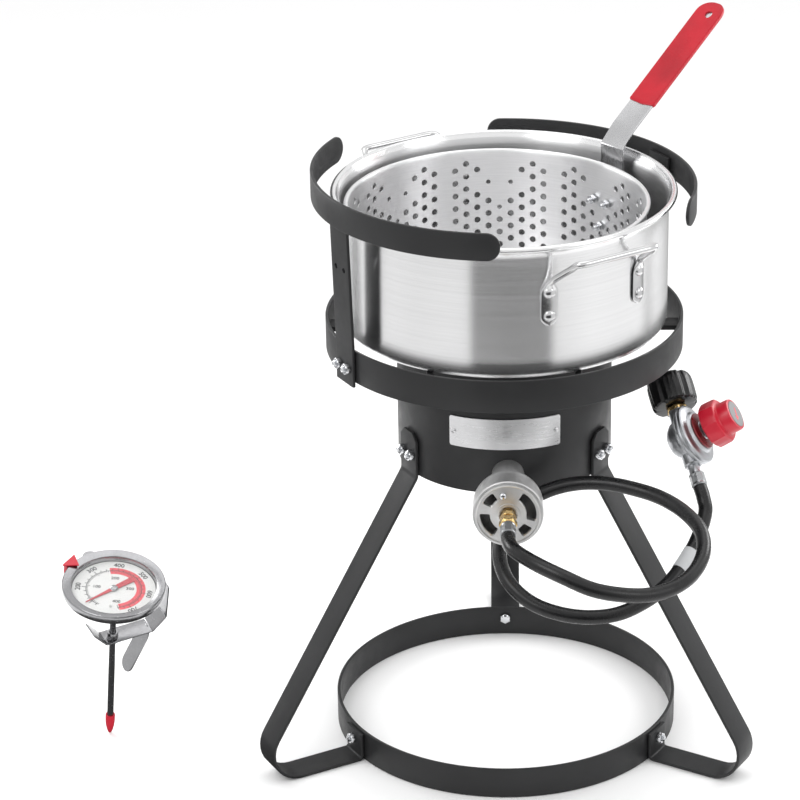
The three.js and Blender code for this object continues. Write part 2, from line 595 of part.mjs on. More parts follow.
// The sheet bracket stands on the basket's wall, clears the bead, and turns out over the pot's rim.
function buildBasketHandle() {
  const group = radialGroup(BASKET_HANDLE.azimuth);
  const { width, sheet, length, slope, elbow, hangHole, holeFromEnd } = BASKET_HANDLE;
  const wallLine = BASKET.radius - BASKET_SHIFT + GAP + sheet / 2 + 0.2;
  const [elbowX, elbowZ] = elbow;
  const run = [Math.cos(rad(slope)), Math.sin(rad(slope))];
  const bracket = bentStrip(rounded([
    [wallLine, 474], [wallLine, 524, 5], [elbowX, 539, 5], [elbowX, elbowZ, 3],
    [elbowX + 20 * run[0], elbowZ + 20 * run[1]],
  ], 4), width, sheet);
  const outline = (from, to, half) => {
    const shape = new THREE.Shape();
    shape.moveTo(from, -half);
    shape.lineTo(to - half, -half);
    shape.absarc(to - half, 0, half, -Math.PI / 2, Math.PI / 2, false);
    shape.lineTo(from, half);
    shape.closePath();
    return shape;
  };
  const layer = (from, to, half, depth) => plate(outline(from, to, half), depth, 10)
    .translate(0, 0, -depth / 2);
  const inClimb = (geometry) => geometry.rotateY(-rad(slope)).translate(elbowX, 0, elbowZ);
  const eye = inClimb(barZ(hangHole + 0.6, -10, 10, 12).translate(length - holeFromEnd, 0, 0));
  const drills = BASKET_SCREWS.map(([y, z]) => barX(BASKET_SCREW_HOLE, wallLine - 8, wallLine + 8, 8, y, z));
  part('basket_handle', cut(join([bracket, inClimb(layer(15, length, width / 2, sheet))]), [eye, ...drills]),
    stainless, group);

  const { start, skin } = GRIP;
  const sleeve = inClimb(layer(start, length + skin, width / 2 + skin, sheet + 2 * skin));
  const slot = inClimb(layer(start - 5, length + GAP, width / 2 + GAP, sheet + 2 * GAP));
  const grommet = inClimb(barZ(hangHole, -10, 10, 12).translate(length - holeFromEnd, 0, 0));
  part('handle_grip', cut(sleeve, [slot, grommet]), redPlastic, group);

  BASKET_SCREWS.forEach(([y, z], i) => {
    const wallIn = BASKET.radius - BASKET.wall - BASKET_SHIFT - 0.6 - (Math.abs(y) > 4 ? 0.5 : 0);
    const headFrom = wallLine + sheet / 2 + GAP;
    const screw = turned([
      [0, wallIn - 8], [2.2, wallIn - 8], [2.2, wallIn - 3.6], [4.4, wallIn - 3.6],
      [4.4, wallIn - GAP], [2.2, wallIn - GAP], [2.2, headFrom], [4.4, headFrom],
      [4, headFrom + 2], [0, headFrom + 2.6],
    ], 6).rotateY(Math.PI / 2);
    part(`basket_screw_${i + 1}`, screw, zincSteel, group).position.set(0, y, z);
  });
}

// ---------------------------------------------------------------- thermometer

// Local axes: the stem stands on +Z from its tip at the origin; the dial looks along +Z.
function buildThermometer() {
  const group = new THREE.Group();
  group.position.set(THERMOMETER.x, THERMOMETER.y, 0);
  group.rotation.set(rad(THERMOMETER.leanForward), rad(THERMOMETER.leanRight), 0);
  group.scale.setScalar(THERMOMETER.enlarged);
  kit.add(group);
  const { dialRadius: rim, length: top } = THERMOMETER;
  const floor = top - 9;

  part('thermometer_case', turned([
    [2.9, floor], [rim - 6, floor], [rim - 1.5, floor + 1], [rim, floor + 3], [rim, top - 2],
    [rim - 1.5, top], [rim - 7.5, top - 1.8], [rim - 7.5, floor + 1.5],
    [2.9, floor + 1.5], [2.9, floor],
  ], 28), stainless, group);
  const plateTop = floor + 2.7;
  const face = turned([[1.6, floor + 1.9], [rim - 8, floor + 1.9], [rim - 8, plateTop],
    [1.6, plateTop], [1.6, floor + 1.9]], 24);
  const stopPeg = barZ(1.1, plateTop - 0.4, plateTop + 2.4, 8).translate(20.3, 0, 0).rotateZ(rad(268));
  part('dial_plate', join([face, stopPeg]), whiteDial, group);
  part('glass_lens', turned([[0, top - 3.4], [rim - 8, top - 3.4], [rim - 8, top - 2], [0, top - 2]], 24),
    clearGlass, group);

  const needle = new THREE.Shape([[-26.7, 0.4], [-26.7, -0.4], [-6, -1.5], [4, -2.3], [17.5, -2.8],
    [17.5, 2.8], [4, 2.3], [-6, 1.5]].map(([x, y]) => new THREE.Vector2(x, y)));
  part('pointer', join([
    plate(needle, 0.8).translate(0, 0, floor + 3.2).rotateZ(rad(POINTER_TAIL)),
    barZ(3.2, floor + 3.1, floor + 4.6, 12), barZ(1.2, floor + 2, floor + 3.4, 10),
  ]), redPlastic, group);

  const arrow = new THREE.Shape([[32.8, 0], [43, 7.5], [43, -7.5]].map(([x, y]) => new THREE.Vector2(x, y)));
  part('target_marker', join([
    plate(arrow, 1).translate(0, 0, top + GAP), slab([rim + GAP, rim + 3], [-5.5, 5.5], [top - 8, top + 1]),
  ]).rotateZ(rad(150)), redPlastic, group);

  part('probe_stem', barZ(2.5, 6.6, floor + 1.2, 14), stainless, group);
  part('probe_cap', turned([[0, 0], [1.2, 0.6], [3.4, 8], [3.8, 20], [2.8, 20], [2.8, 6.3], [0, 6.3]], 16),
    redPlastic, group);

  buildPanClip(group, floor);
}

function buildPanClip(group, caseBottom) {
  const clip = new THREE.Group();
  clip.rotation.z = rad(30);
  group.add(clip);
  const eye = caseBottom - 45;
  const strip = bentStrip(rounded([
    [-19, eye + 12], [-8, eye - 1, 2], [31, eye - 1, 2], [42, eye + 10, 3], [43.2, eye + 40],
  ], 3), 16, 1.2);
  const spring = plate(roundedRectangle(22, 8, 7.8), 1.2, 4).translate(22, 0, 0)
    .rotateY(rad(115)).translate(29, 0, eye);
  const stemHole = barZ(2.9, eye - 20, eye + 10, 14);
  part('pan_clip', cut(join([strip, spring, barZ(4.4, eye - 6, eye + 4, 14)]), [stemHole]), stainless, clip);
}

// ---------------------------------------------------------------- the kit

buildHousing();
buildRings();
Object.entries(LEG_AZIMUTHS).forEach(([side, azimuth]) => buildLeg(side, azimuth));
buildSupports();
Object.entries(GUARDS).forEach(([side, guard]) => buildGuard(side, guard));
buildNameplate();
buildBurner();
buildBurnerHead();
buildHose();
buildRegulator();
buildPot();
Object.entries(POT_HANDLE.azimuths).forEach(([side, azimuth]) => buildPotHandle(side, azimuth));
buildBasket();
buildBasketHandle();
buildThermometer();

// The origin is on the floor, under the middle of everything but the hose and the pieces on it.
const extent = new THREE.Box3();
kit.updateMatrixWorld(true);
kit.traverse((node) => {
  if (node.isMesh && !HOSE_PIECES.includes(node.name)) extent.expandByObject(node, true);
});
const middle = extent.getCenter(new THREE.Vector3());
kit.position.set(-middle.x, -middle.y, 0);

export default kit;
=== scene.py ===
"""Looks of the outdoor fryer kit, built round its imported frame.

Outlines are in millimetres in the stand's own frame: the floor is z = 0 and the stand's axis is
x = y = 0. Azimuths are degrees from +X towards +Y.
"""

import json
from math import acos, asin, atan2, cos, degrees, hypot, pi, radians, sin, sqrt, tan, tau

import bmesh
import bpy
from mathutils import Matrix, Vector


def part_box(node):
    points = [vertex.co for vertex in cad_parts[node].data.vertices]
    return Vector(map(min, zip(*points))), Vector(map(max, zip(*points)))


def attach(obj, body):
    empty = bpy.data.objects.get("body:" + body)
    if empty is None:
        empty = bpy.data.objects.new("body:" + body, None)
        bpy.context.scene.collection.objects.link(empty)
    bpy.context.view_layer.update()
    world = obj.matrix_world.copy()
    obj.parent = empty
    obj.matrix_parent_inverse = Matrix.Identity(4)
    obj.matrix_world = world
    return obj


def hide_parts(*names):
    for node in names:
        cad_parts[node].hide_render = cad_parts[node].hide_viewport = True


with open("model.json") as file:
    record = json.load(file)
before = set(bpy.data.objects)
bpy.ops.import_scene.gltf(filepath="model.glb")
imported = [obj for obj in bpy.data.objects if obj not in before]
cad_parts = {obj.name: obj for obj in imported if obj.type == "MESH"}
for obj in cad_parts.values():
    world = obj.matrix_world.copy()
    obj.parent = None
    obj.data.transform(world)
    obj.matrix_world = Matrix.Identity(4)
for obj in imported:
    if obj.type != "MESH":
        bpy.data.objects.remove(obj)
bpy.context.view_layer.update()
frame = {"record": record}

MM = 0.001
ring_low, ring_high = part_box("floor_ring")
AXIS = Vector(((ring_low.x + ring_high.x) / 2, (ring_low.y + ring_high.y) / 2, 0))
BODIES = frame["record"]["behaviour"]["bodies"]
BODY_OF = {node: body for body, nodes in BODIES.items() for node in nodes}

# ---------------------------------------------------------------- driving dimensions, as in the CAD

GAP = 0.3                                                    # between two parts that touch
STRIP = 3
# the reach is 0.3 less than in the CAD, which keeps the bent foot inside the CAD's box
LEG_REACH, LEG_TOP, KNEE_Z, FOOT_BEND = 265.7, 333, 289, 29
LEG_BOLT_Z, FOOT_BOLT_Z, GUARD_BOLT_Z, BOLT_PAIR = 311, 19, 416, (-8, 8)
NAMEPLATE = (240.4, 300, 335.5, 366)                         # azimuths, then heights
LEG_AZIMUTHS = {"left": 210, "right": 330, "rear": 90}
HOUSING_RADIUS = 102.3
FLOOR_RING_RADIUS, TOP_RING_RADIUS = 167.6, 169.3
TOP_RING_BOTTOM, TOP_RING_TOP = 402.4, 433.8
SUPPORT_X, SUPPORT_Z, ARM_Z = 68, 419.85, 419                # middles of the bars and arms
GUARD_RADIUS, GUARD_HEIGHT = 180, 26
# azimuths of the two ends, height of the lower edge, azimuth of the upright
GUARDS = {"left": (150, 269, 554, 211), "right": (-20, 95, 537.5, 31)}
BURNER_X, BURNER_Z, FACE = 3, 310, 187
SHUTTER_SCREW = (104, 19.7)                                  # azimuth and radius on the face
AIR_WINDOWS = ((-15, 58), (122, 154), (177, 238), (301, 329))
POT_RADIUS, POT_BOTTOM = 154, 428
POT_HANDLES, RIVET_LEVELS = {"front": 303.5, "rear": 123.5}, (490, 512.5)
HANDLE_HALF_SPAN, ROD_SIDES = 48.4, 20
BASKET_RADIUS, BASKET_BOTTOM, BASKET_SHIFT = 139.8, 430.4, 8.8
BASKET_SHEET, BASKET_CORNER, BASKET_FLOOR = 1.2, 8.8, 131    # the floor by its radius
HOLE, SMALL_HOLE = 3.1, 2.3                                  # radii
BASKET_SCREWS = ((-8.7, 509), (8.7, 510), (0.5, 484))
HANDLE_AZIMUTH, HANDLE_SLOPE, HANDLE_LENGTH, ELBOW = 44, 36.5, 181, (145, 562)
BAR_HALF, GRIP_START = 14.5, 52
HOSE_DIAMETER = 14
LABEL_STEPS = (166, 172)                                     # the label's stretch of the line
HOSE_ROUTE = (
    (3, -234.5, 310), (3.4, -245, 310), (9, -263, 310.5), (27, -283, 308), (51, -297, 302),
    (77, -302, 292), (104, -297, 284), (129, -285, 278), (152, -268, 277), (169, -246, 280),
    (179, -220, 287), (178, -193, 295), (165, -169, 302), (145, -149, 307), (122, -134, 309),
    (95, -123, 310), (68, -116, 307), (41, -116, 300), (16, -123, 288), (0, -140, 272),
    (-5, -161, 254), (3, -183, 239), (23, -199, 226), (49, -208, 219), (77, -208, 215),
    (104, -201, 215), (129, -188, 221), (150, -171, 230), (166, -151, 242), (179, -130, 256),
    (187.5, -106, 271), (186.3, -93.9, 280.8), (183.5, -84.8, 288),
)
REGULATOR_AT = Vector((171.5, -45, 319.4))
INLET, KNOB = Vector((-0.231, 0.764, 0.603)), Vector((0.816, -0.185, 0.548))

# ---------------------------------------------------------------- shapes: (vertices, faces) in mm


def moved(shape, matrix):
    return [matrix @ Vector(v) for v in shape[0]], shape[1]


def merged(*shapes):
    verts, faces = [], []
    for points, polygons in shapes:
        start = len(verts)
        verts.extend(points)
        faces.extend([[start + i for i in face] for face in polygons])
    return verts, faces


def polygon_radius(turn, radius, sides):
    step = tau / sides
    return radius * cos(step / 2) / cos(turn % step - step / 2)


def lathe(profile, segments=96, closed=False, reshape=None):
    """Turned about Z from (radius, z) points; (radius, z, sides) makes that section a polygon."""
    loops = []
    for radius, z, *sides in profile:
        loops.append([])
        for k in range(segments):
            turn = tau * k / segments
            r = polygon_radius(turn, radius, sides[0]) if sides else radius
            if reshape:
                r = reshape(turn, r, z)
            loops[-1].append(Vector((r * cos(turn), r * sin(turn), z)))
    return skin(loops, closed, caps=False)


def skin(loops, closed=False, caps=True):
    """Surface over matching loops of points, capped at its two ends."""
    count = len(loops[0])
    faces = []
    for i in range(len(loops) if closed else len(loops) - 1):
        a, b = i * count, (i + 1) % len(loops) * count
        faces.extend([[a + k, a + (k + 1) % count, b + (k + 1) % count, b + k]
                      for k in range(count)])
    if caps and not closed:
        faces.append(list(range(count)))
        faces.append([(len(loops) - 1) * count + k for k in range(count)])
    return [point for loop in loops for point in loop], faces


def arc(x, y, radius, start, end, steps):
    """Points of an arc, in degrees."""
    turns = [radians(start + (end - start) * k / steps) for k in range(steps + 1)]
    return [(x + radius * cos(t), y + radius * sin(t)) for t in turns]


def rounded_box_section(half_width, half_height, corner, steps=3):
    x, y = half_width - corner, half_height - corner
    return (arc(x, y, corner, 0, 90, steps) + arc(-x, y, corner, 90, 180, steps)
            + arc(-x, -y, corner, 180, 270, steps) + arc(x, -y, corner, 270, 360, steps))


def rounded(corners, steps=8):
    """Corner list (x, y, bend radius) as a line with its bends rounded."""
    points = []
    for i, (x, y, *radius) in enumerate(corners):
        here = Vector((x, y))
        if not radius:
            points.append(here)
            continue
        back = (Vector(corners[i - 1][:2]) - here).normalized()
        ahead = (Vector(corners[i + 1][:2]) - here).normalized()
        half = acos(max(-1, min(1, back.dot(ahead)))) / 2
        centre = here + (back + ahead).normalized() * radius[0] / sin(half)
        start = here + back * radius[0] / tan(half) - centre
        end = here + ahead * radius[0] / tan(half) - centre
        sweep = atan2(start.x * end.y - start.y * end.x, start.dot(end))
        for k in range(steps + 1):
            points.append(centre + Matrix.Rotation(sweep * k / steps, 2) @ start)
    return points


def heading(line, i):
    return (line[min(i + 1, len(line) - 1)] - line[max(i - 1, 0)]).normalized()


def bent_strip(line, half_widths, thickness, corner=0.7, crease=None):
    """A strip whose centreline lies in the XZ plane and whose width lies along Y."""
    loops = []
    for i, point in enumerate(line):
        along = heading(line, i)
        normal = Vector((-along.y, along.x))
        half = half_widths[i] if isinstance(half_widths, list) else half_widths
        fold = crease[i] if crease else 0
        loop = []
        for across, out in rounded_box_section(half, thickness / 2, corner):
            lift = out + fold * abs(across)
            loop.append(Vector((point.x + normal.x * lift, across, point.y + normal.y * lift)))
        if crease:
            top = Vector((point.x + normal.x * thickness / 2, 0,
                          point.y + normal.y * thickness / 2))
            low = Vector((point.x - normal.x * thickness / 2, 0,
                          point.y - normal.y * thickness / 2))
            quarter = len(loop) // 4
            loop = loop[:quarter] + [top] + loop[quarter:3 * quarter] + [low] + loop[3 * quarter:]
        loops.append(loop)
    return skin(loops)


def smooth_line(points, per_span=6):
    """Catmull-Rom line through the points."""
    points = [Vector(p) for p in points]
    ends = [points[0] * 2 - points[1], *points, points[-1] * 2 - points[-2]]
    line = []
    for i in range(len(points) - 1):
        a, b, c, d = ends[i:i + 4]
        for k in range(per_span):
            t = k / per_span
            line.append(0.5 * (2 * b + (c - a) * t + (2 * a - 5 * b + 4 * c - d) * t ** 2
                               + (3 * b - a - 3 * c + d) * t ** 3))
    return [*line, points[-1]]


def tube(line, sections, across, caps=True):
    """A bar along a line; sections are (half width, half thickness) pairs, turned without twist."""
    loops = []
    side = Vector(across).normalized()
    for i, point in enumerate(line):
        along = heading(line, i)
        side = (side - along * side.dot(along)).normalized()
        out = along.cross(side)
        wide, thick = sections[i] if isinstance(sections, list) else sections
        turns = [tau * k / ROD_SIDES for k in range(ROD_SIDES)]
        loops.append([point + side * wide * cos(t) + out * thick * sin(t) for t in turns])
    return skin(loops, caps=caps)


def plate(outline, holes, low, high, chamfer=0.3):
    """Flat plate with holes. outline(grow) and each hole(grow) give a loop grown by that much."""
    bm = bmesh.new()
    levels = ((low, chamfer), (low + chamfer, 0), (high - chamfer, 0), (high, chamfer))
    ends = ([], [])
    for contour, way in [(outline, -1), *((hole, 1) for hole in holes)]:
        rows = []
        for z, inset in levels:
            rows.append([bm.verts.new((x, y, z)) for x, y in contour(way * inset)])
        count = len(rows[0])
        for row, edges in ((rows[0], ends[0]), (rows[-1], ends[1])):
            edges.extend([bm.edges.new((row[k], row[(k + 1) % count])) for k in range(count)])
        for lower, upper in zip(rows, rows[1:]):
            for k in range(count):
                n = (k + 1) % count
                bm.faces.new((lower[k], lower[n], upper[n], upper[k]))
    for edges in ends:
        bmesh.ops.triangle_fill(bm, use_beauty=True, use_dissolve=False, edges=edges)
    bm.verts.index_update()
    shape = ([v.co.copy() for v in bm.verts], [[v.index for v in f.verts] for f in bm.faces])
    bm.free()
    return shape


def circle(radius, x=0, y=0, sides=24):
    return lambda grow: arc(x, y, radius + grow, 0, 360 * (1 - 1 / sides), sides - 1)


def air_window(window, inner=16.8, outer=25.8, corner=2.2):
    """Loop of one of the air shutter's windows, its corners eased."""
    def loop(grow):
        start, end = (radians(a) for a in window)
        points = []
        for r, way, first, last in ((outer + grow, 1, start, end), (inner - grow, -1, end, start)):
            turn = way * (corner * 0.6 - grow) / r
            eased, sweep = r - way * corner * 0.5, last - first - 2 * turn
            line = [(eased, first + turn * 0.1),
                    *((r, first + turn + sweep * k / 8) for k in range(9)),
                    (eased, last - turn * 0.1)]
            points.extend((radius * cos(a), radius * sin(a)) for radius, a in line)
        return points
    return loop


def on_arc(azimuth, section):
    """A section of (radius, z) points stood at an azimuth."""
    a = radians(azimuth)
    return [Vector((r * cos(a), r * sin(a), z)) for r, z in section]


def flat_loop(points, low, high):
    return skin([[Vector((x, y, z)) for x, y in points] for z in (low, high)])


def turn_z(azimuth):
    return Matrix.Rotation(radians(azimuth), 4, "Z")


def shift(x=0, y=0, z=0):
    return Matrix.Translation((x, y, z))


ALONG_X = Matrix.Rotation(pi / 2, 4, "Y")
ALONG_MINUS_Y = Matrix.Rotation(pi / 2, 4, "X")

# ---------------------------------------------------------------- materials


class Surface:
    """A principled material with its noise-driven colour, roughness and bump."""

    def __init__(self, name, colour, roughness, metallic=0.0, **sockets):
        self.material = bpy.data.materials.new(name)
        self.material.use_nodes = True
        self.tree = self.material.node_tree
        self.shader = self.tree.nodes["Principled BSDF"]
        self.shader.inputs["Base Color"].default_value = (*colour, 1)
        self.shader.inputs["Roughness"].default_value = roughness
        self.shader.inputs["Metallic"].default_value = metallic
        for socket, value in sockets.items():
            self.shader.inputs[socket.replace("_", " ")].default_value = value
        self.colour, self.roughness = colour, roughness
        self.point = self.add("ShaderNodeTexCoord").outputs["Object"]
        self.height = None

    def add(self, kind, **settings):
        node = self.tree.nodes.new(kind)
        for key, value in settings.items():
            setattr(node, key, value)
        return node

    def join(self, output, socket):
        self.tree.links.new(output, socket)

    def math(self, operation, a, b=None):
        node = self.add("ShaderNodeMath", operation=operation)
        for socket, value in zip(node.inputs, (a, b)):
            if value is None:
                continue
            if isinstance(value, (int, float)):
                socket.default_value = value
            else:
                self.join(value, socket)
        return node.outputs[0]

    def noise(self, scale, detail=3.0, stretch=(1, 1, 1), vector=None):
        mapping = self.add("ShaderNodeMapping")
        mapping.inputs["Scale"].default_value = stretch
        self.join(vector or self.point, mapping.inputs["Vector"])
        noise = self.add("ShaderNodeTexNoise")
        noise.inputs["Scale"].default_value = scale
        noise.inputs["Detail"].default_value = detail
        self.join(mapping.outputs[0], noise.inputs["Vector"])
        return noise.outputs["Fac"]

    def axes(self):
        split = self.add("ShaderNodeSeparateXYZ")
        self.join(self.point, split.inputs[0])
        return split.outputs

    def turned_point(self):
        """(distance from the axis, height, a little of x + y), for marks left by spinning."""
        x, y, z = self.axes()
        squares = [self.math("MULTIPLY", side, side) for side in (x, y)]
        radius = self.math("SQRT", self.math("ADD", *squares))
        drift = self.math("MULTIPLY", self.math("ADD", x, y), 0.0015)
        combine = self.add("ShaderNodeCombineXYZ")
        for output, socket in zip((radius, z, drift), combine.inputs):
            self.join(output, socket)
        return combine.outputs[0]

    def ramp(self, factor, stops):
        ramp = self.add("ShaderNodeValToRGB")
        elements = ramp.color_ramp.elements
        while len(elements) < len(stops):
            elements.new(0.5)
        for element, (at, colour) in zip(elements, stops):
            element.position = at
            element.color = (*colour, 1)
        self.join(factor, ramp.inputs[0])
        return ramp.outputs[0]

    def tint(self, factor, low, high, span=(0.35, 0.65)):
        """Colour from low to high times the base colour as the factor rises."""
        stops = [(at, [c * k for c in self.colour]) for at, k in zip(span, (low, high))]
        self.join(self.ramp(factor, stops), self.shader.inputs["Base Color"])
        return self

    def gloss(self, factor, low, high):
        scale = self.add("ShaderNodeMapRange")
        for name, value in (("From Min", 0.3), ("From Max", 0.7), ("To Min", low),
                            ("To Max", high)):
            scale.inputs[name].default_value = value
        self.join(factor, scale.inputs["Value"])
        self.join(scale.outputs[0], self.shader.inputs["Roughness"])
        return self

    def bump(self, factor, depth, strength=1.0):
        bump = self.add("ShaderNodeBump")
        bump.inputs["Distance"].default_value = depth
        bump.inputs["Strength"].default_value = strength
        self.join(factor, bump.inputs["Height"])
        if self.height:
            self.join(self.height, bump.inputs["Normal"])
        self.height = bump.outputs[0]
        self.join(self.height, self.shader.inputs["Normal"])
        return self


def powder_black():
    s = Surface("powder_black", (0.019, 0.0192, 0.020), 0.40, Specular_IOR_Level=0.3)
    wide, fine = s.noise(9, 2), s.noise(1400, 2)
    s.tint(wide, 0.85, 1.2).gloss(s.noise(60, 3), 0.36, 0.5).bump(fine, 0.00012, 0.5)
    return s.material


def spun(name, colour, roughness, brush=0.00002, aniso=0.88):
    s = Surface(name, colour, roughness, 1.0, Anisotropic=aniso, Anisotropic_Rotation=0.25)
    point = s.turned_point()
    lines, broad = s.noise(2600, 2, vector=point), s.noise(700, 3, vector=point)
    s.tint(broad, 0.97, 1.015).gloss(lines, roughness * 0.92, roughness * 1.1)
    s.bump(lines, brush, 0.25)
    tangent = s.add("ShaderNodeTangent", direction_type="RADIAL", axis="Z")
    s.join(tangent.outputs[0], s.shader.inputs["Tangent"])
    return s.material


def brushed(name, colour, roughness, stretch, depth=0.00003):
    s = Surface(name, colour, roughness, 1.0, Anisotropic=0.3)
    lines = s.noise(900, 3, stretch)
    s.tint(s.noise(30, 3), 0.93, 1.04).gloss(lines, roughness * 0.8, roughness * 1.3)
    s.bump(lines, depth, 0.5)
    return s.material


def polished(name, colour, roughness, scuffs=0.00003, scale=260):
    s = Surface(name, colour, roughness, 1.0)
    s.tint(s.noise(45, 3), 0.92, 1.04).gloss(s.noise(scale, 4), roughness * 0.75, roughness * 1.4)
    s.bump(s.noise(scale * 3, 2), scuffs, 0.4)
    return s.material


def cast(name, colour, roughness, metallic, grain=900, depth=0.0002):
    s = Surface(name, colour, roughness, metallic)
    s.tint(s.noise(35, 4), 0.85, 1.12).gloss(s.noise(200, 3), roughness * 0.85, roughness * 1.15)
    s.bump(s.noise(grain, 4), depth, 0.6).bump(s.noise(grain / 8, 3), depth * 2, 0.25)
    return s.material


def moulded(name, colour, roughness, coat=0.0, grain=1200, depth=0.00008, spread=(0.9, 1.08),
            specular=0.5):
    s = Surface(name, colour, roughness, Coat_Weight=coat, Coat_Roughness=0.15,
                Specular_IOR_Level=specular)
    s.tint(s.noise(25, 3), *spread).gloss(s.noise(120, 3), roughness * 0.85, roughness * 1.2)
    s.bump(s.noise(grain, 3), depth, 0.5)
    return s.material


def rubber_hose():
    s = Surface("hose_rubber", (0.006, 0.006, 0.0065), 0.28, Specular_IOR_Level=0.4)
    s.tint(s.noise(14, 4), 0.7, 1.7).gloss(s.noise(90, 4), 0.2, 0.36)
    s.bump(s.noise(700, 3), 0.00015, 0.5)
    return s.material


def lens_glass():
    s = Surface("lens_glass", (0.9, 0.93, 0.93), 0.03, 0.0, Alpha=0.05)
    s.gloss(s.noise(40, 2), 0.02, 0.06)
    return s.material


def dial_enamel():
    s = Surface("dial_enamel", (0.70, 0.70, 0.69), 0.45)
    s.tint(s.noise(20, 3), 0.97, 1.02).gloss(s.noise(300, 2), 0.4, 0.5)
    s.bump(s.noise(1500, 2), 0.00003, 0.3)
    return s.material


BLACK = powder_black()
POT_METAL = spun("pot_spun", (0.86, 0.86, 0.865), 0.24)
# the pot's inside: rougher satin spun metal, and its darker colour is painted shade standing in for
# dimmer reflections inside the pot
POT_INSIDE_SATIN_AND_SHADE = spun("pot_inside_satin_painted_shade_spun", (0.66, 0.66, 0.665), 0.3)
BASKET_METAL = spun("basket_spun", (0.88, 0.88, 0.885), 0.34)
ROD_METAL = polished("rod_polished", (0.64, 0.64, 0.645), 0.16)
RIVET_METAL = polished("rivet_metal", (0.66, 0.66, 0.66), 0.24)
ZINC = polished("zinc_plate", (0.72, 0.73, 0.75), 0.2)
STEEL = polished("stainless_polished", (0.36, 0.36, 0.37), 0.2)
PLATE_STEEL = brushed("plate_brushed", (0.74, 0.74, 0.75), 0.3, (0.05, 0.05, 1))
HANDLE_STEEL = brushed("handle_brushed", (0.55, 0.55, 0.56), 0.24, (1, 1, 0.15))
FERRULE_STEEL = polished("ferrule_steel", (0.40, 0.41, 0.42), 0.3)
BRASS = polished("brass_turned", (0.78, 0.55, 0.24), 0.22)
CAST_ALUMINIUM = cast("cast_aluminium", (0.62, 0.62, 0.618), 0.36, 0.85)
CAST_ZINC = cast("cast_zinc", (0.50, 0.51, 0.53), 0.36, 1.0, 700, 0.00012)
CAST_IRON = cast("cast_iron", (0.045, 0.043, 0.042), 0.75, 0.2, 500, 0.0005)
HOSE_RUBBER = rubber_hose()
BLACK_PLASTIC = moulded("black_plastic", (0.005, 0.005, 0.0055), 0.22)
RED_PLASTIC = moulded("red_plastic", (0.50, 0.008, 0.026), 0.32, 0.1)
RED_VINYL = moulded("red_vinyl", (0.46, 0.008, 0.020), 0.4, 0.0, 420, 0.0003, (0.82, 1.1), 0.3)
DARK_RED = moulded("dark_red_plastic", (0.22, 0.006, 0.012), 0.3, 0.2)
LABEL_GREY = moulded("label_grey", (0.48, 0.49, 0.50), 0.4)
LABEL_DARK = moulded("label_dark", (0.20, 0.20, 0.205), 0.4)
DIAL_WHITE = dial_enamel()
INK_BLACK = moulded("ink_black", (0.02, 0.02, 0.022), 0.5)
INK_RED = moulded("ink_red", (0.72, 0.045, 0.07), 0.5)
GLASS = lens_glass()
DARK_CARD = moulded("dark_card", (0.05, 0.05, 0.05), 0.8)

# ---------------------------------------------------------------- pieces


def in_scene(name, data):
    thing = bpy.data.objects.new(name, data)
    bpy.context.scene.collection.objects.link(thing)
    return thing


def build(name, shape, material, place=None, sharp=38):
    verts, faces = moved(shape, place) if place else shape
    mesh = bpy.data.meshes.new(name)
    mesh.from_pydata([Vector(v) * MM for v in verts], [], faces)
    bm = bmesh.new()
    bm.from_mesh(mesh)
    bmesh.ops.remove_doubles(bm, verts=bm.verts, dist=1e-6)
    bmesh.ops.dissolve_degenerate(bm, edges=bm.edges, dist=1e-7)
    bmesh.ops.recalc_face_normals(bm, faces=bm.faces)
    bm.to_mesh(mesh)
    bm.free()
    mesh.shade_smooth()
    mesh.set_sharp_from_angle(angle=radians(sharp))
    mesh.materials.append(material)
    piece = in_scene(name, mesh)
    piece.location = AXIS
    return piece


def stand_for(node, piece):
    """The piece takes the place and body of a CAD node."""
    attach(piece, BODY_OF[node])
    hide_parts(node)
    return piece


def piece_for(node, shape, material, place=None, sharp=38):
    return stand_for(node, build(f"{node}_piece", shape, material, place, sharp))


def detail(name, shape, material, like, place=None, sharp=38):
    """A small extra piece on the body of a CAD node."""
    piece = build(name, shape, material, place, sharp)
    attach(piece, BODY_OF[like])
    return piece


def evaluated(thing):
    bpy.context.view_layer.update()
    graph = bpy.context.evaluated_depsgraph_get()
    return bpy.data.meshes.new_from_object(thing.evaluated_get(graph))


def carve(piece, cutters):
    """Cuts shapes out of a piece."""
    for i, shape in enumerate(cutters):
        tool = build(f"{piece.name}_cutter", shape, BLACK)
        tool.matrix_world = piece.matrix_world
        cut = piece.modifiers.new(f"cut_{i}", "BOOLEAN")
        cut.object, cut.operation, cut.solver = tool, "DIFFERENCE", "MANIFOLD"
        mesh = evaluated(piece)
        piece.modifiers.clear()
        piece.data = mesh
        bpy.data.objects.remove(tool)
    piece.data.set_sharp_from_angle(angle=radians(38))
    return piece


def hexagon_bolt(stack_from, stack_to):
    """Along +X: hexagon head inside the stack, nut and a domed threaded end outside it."""
    head, nut = stack_from - GAP, stack_to + GAP
    thread = []
    for k in range(5):
        thread += [(3.0, nut + 5.0 + 0.4 * k), (2.7, nut + 5.2 + 0.4 * k)]
    profile = [(0, head - 4), (4.4, head - 4), (5.6, head - 3.4, 6), (5.6, head, 6), (3, head),
               (3, nut), (5.0, nut), (5.7, nut + 0.6, 6), (5.7, nut + 4.3, 6), (4.7, nut + 5),
               (3.1, nut + 5.05), *thread, (2.4, nut + 7.2), (1.3, nut + 7.55), (0, nut + 7.6)]
    return moved(lathe(profile, 24), ALONG_X)


def band(radius, thickness, low, high, segments=192, edge=0.6):
    section = rounded_box_section(thickness / 2, (high - low) / 2, edge)
    profile = [(radius - thickness / 2 + x, (low + high) / 2 + y) for x, y in section]
    return lathe(profile, segments, closed=True)


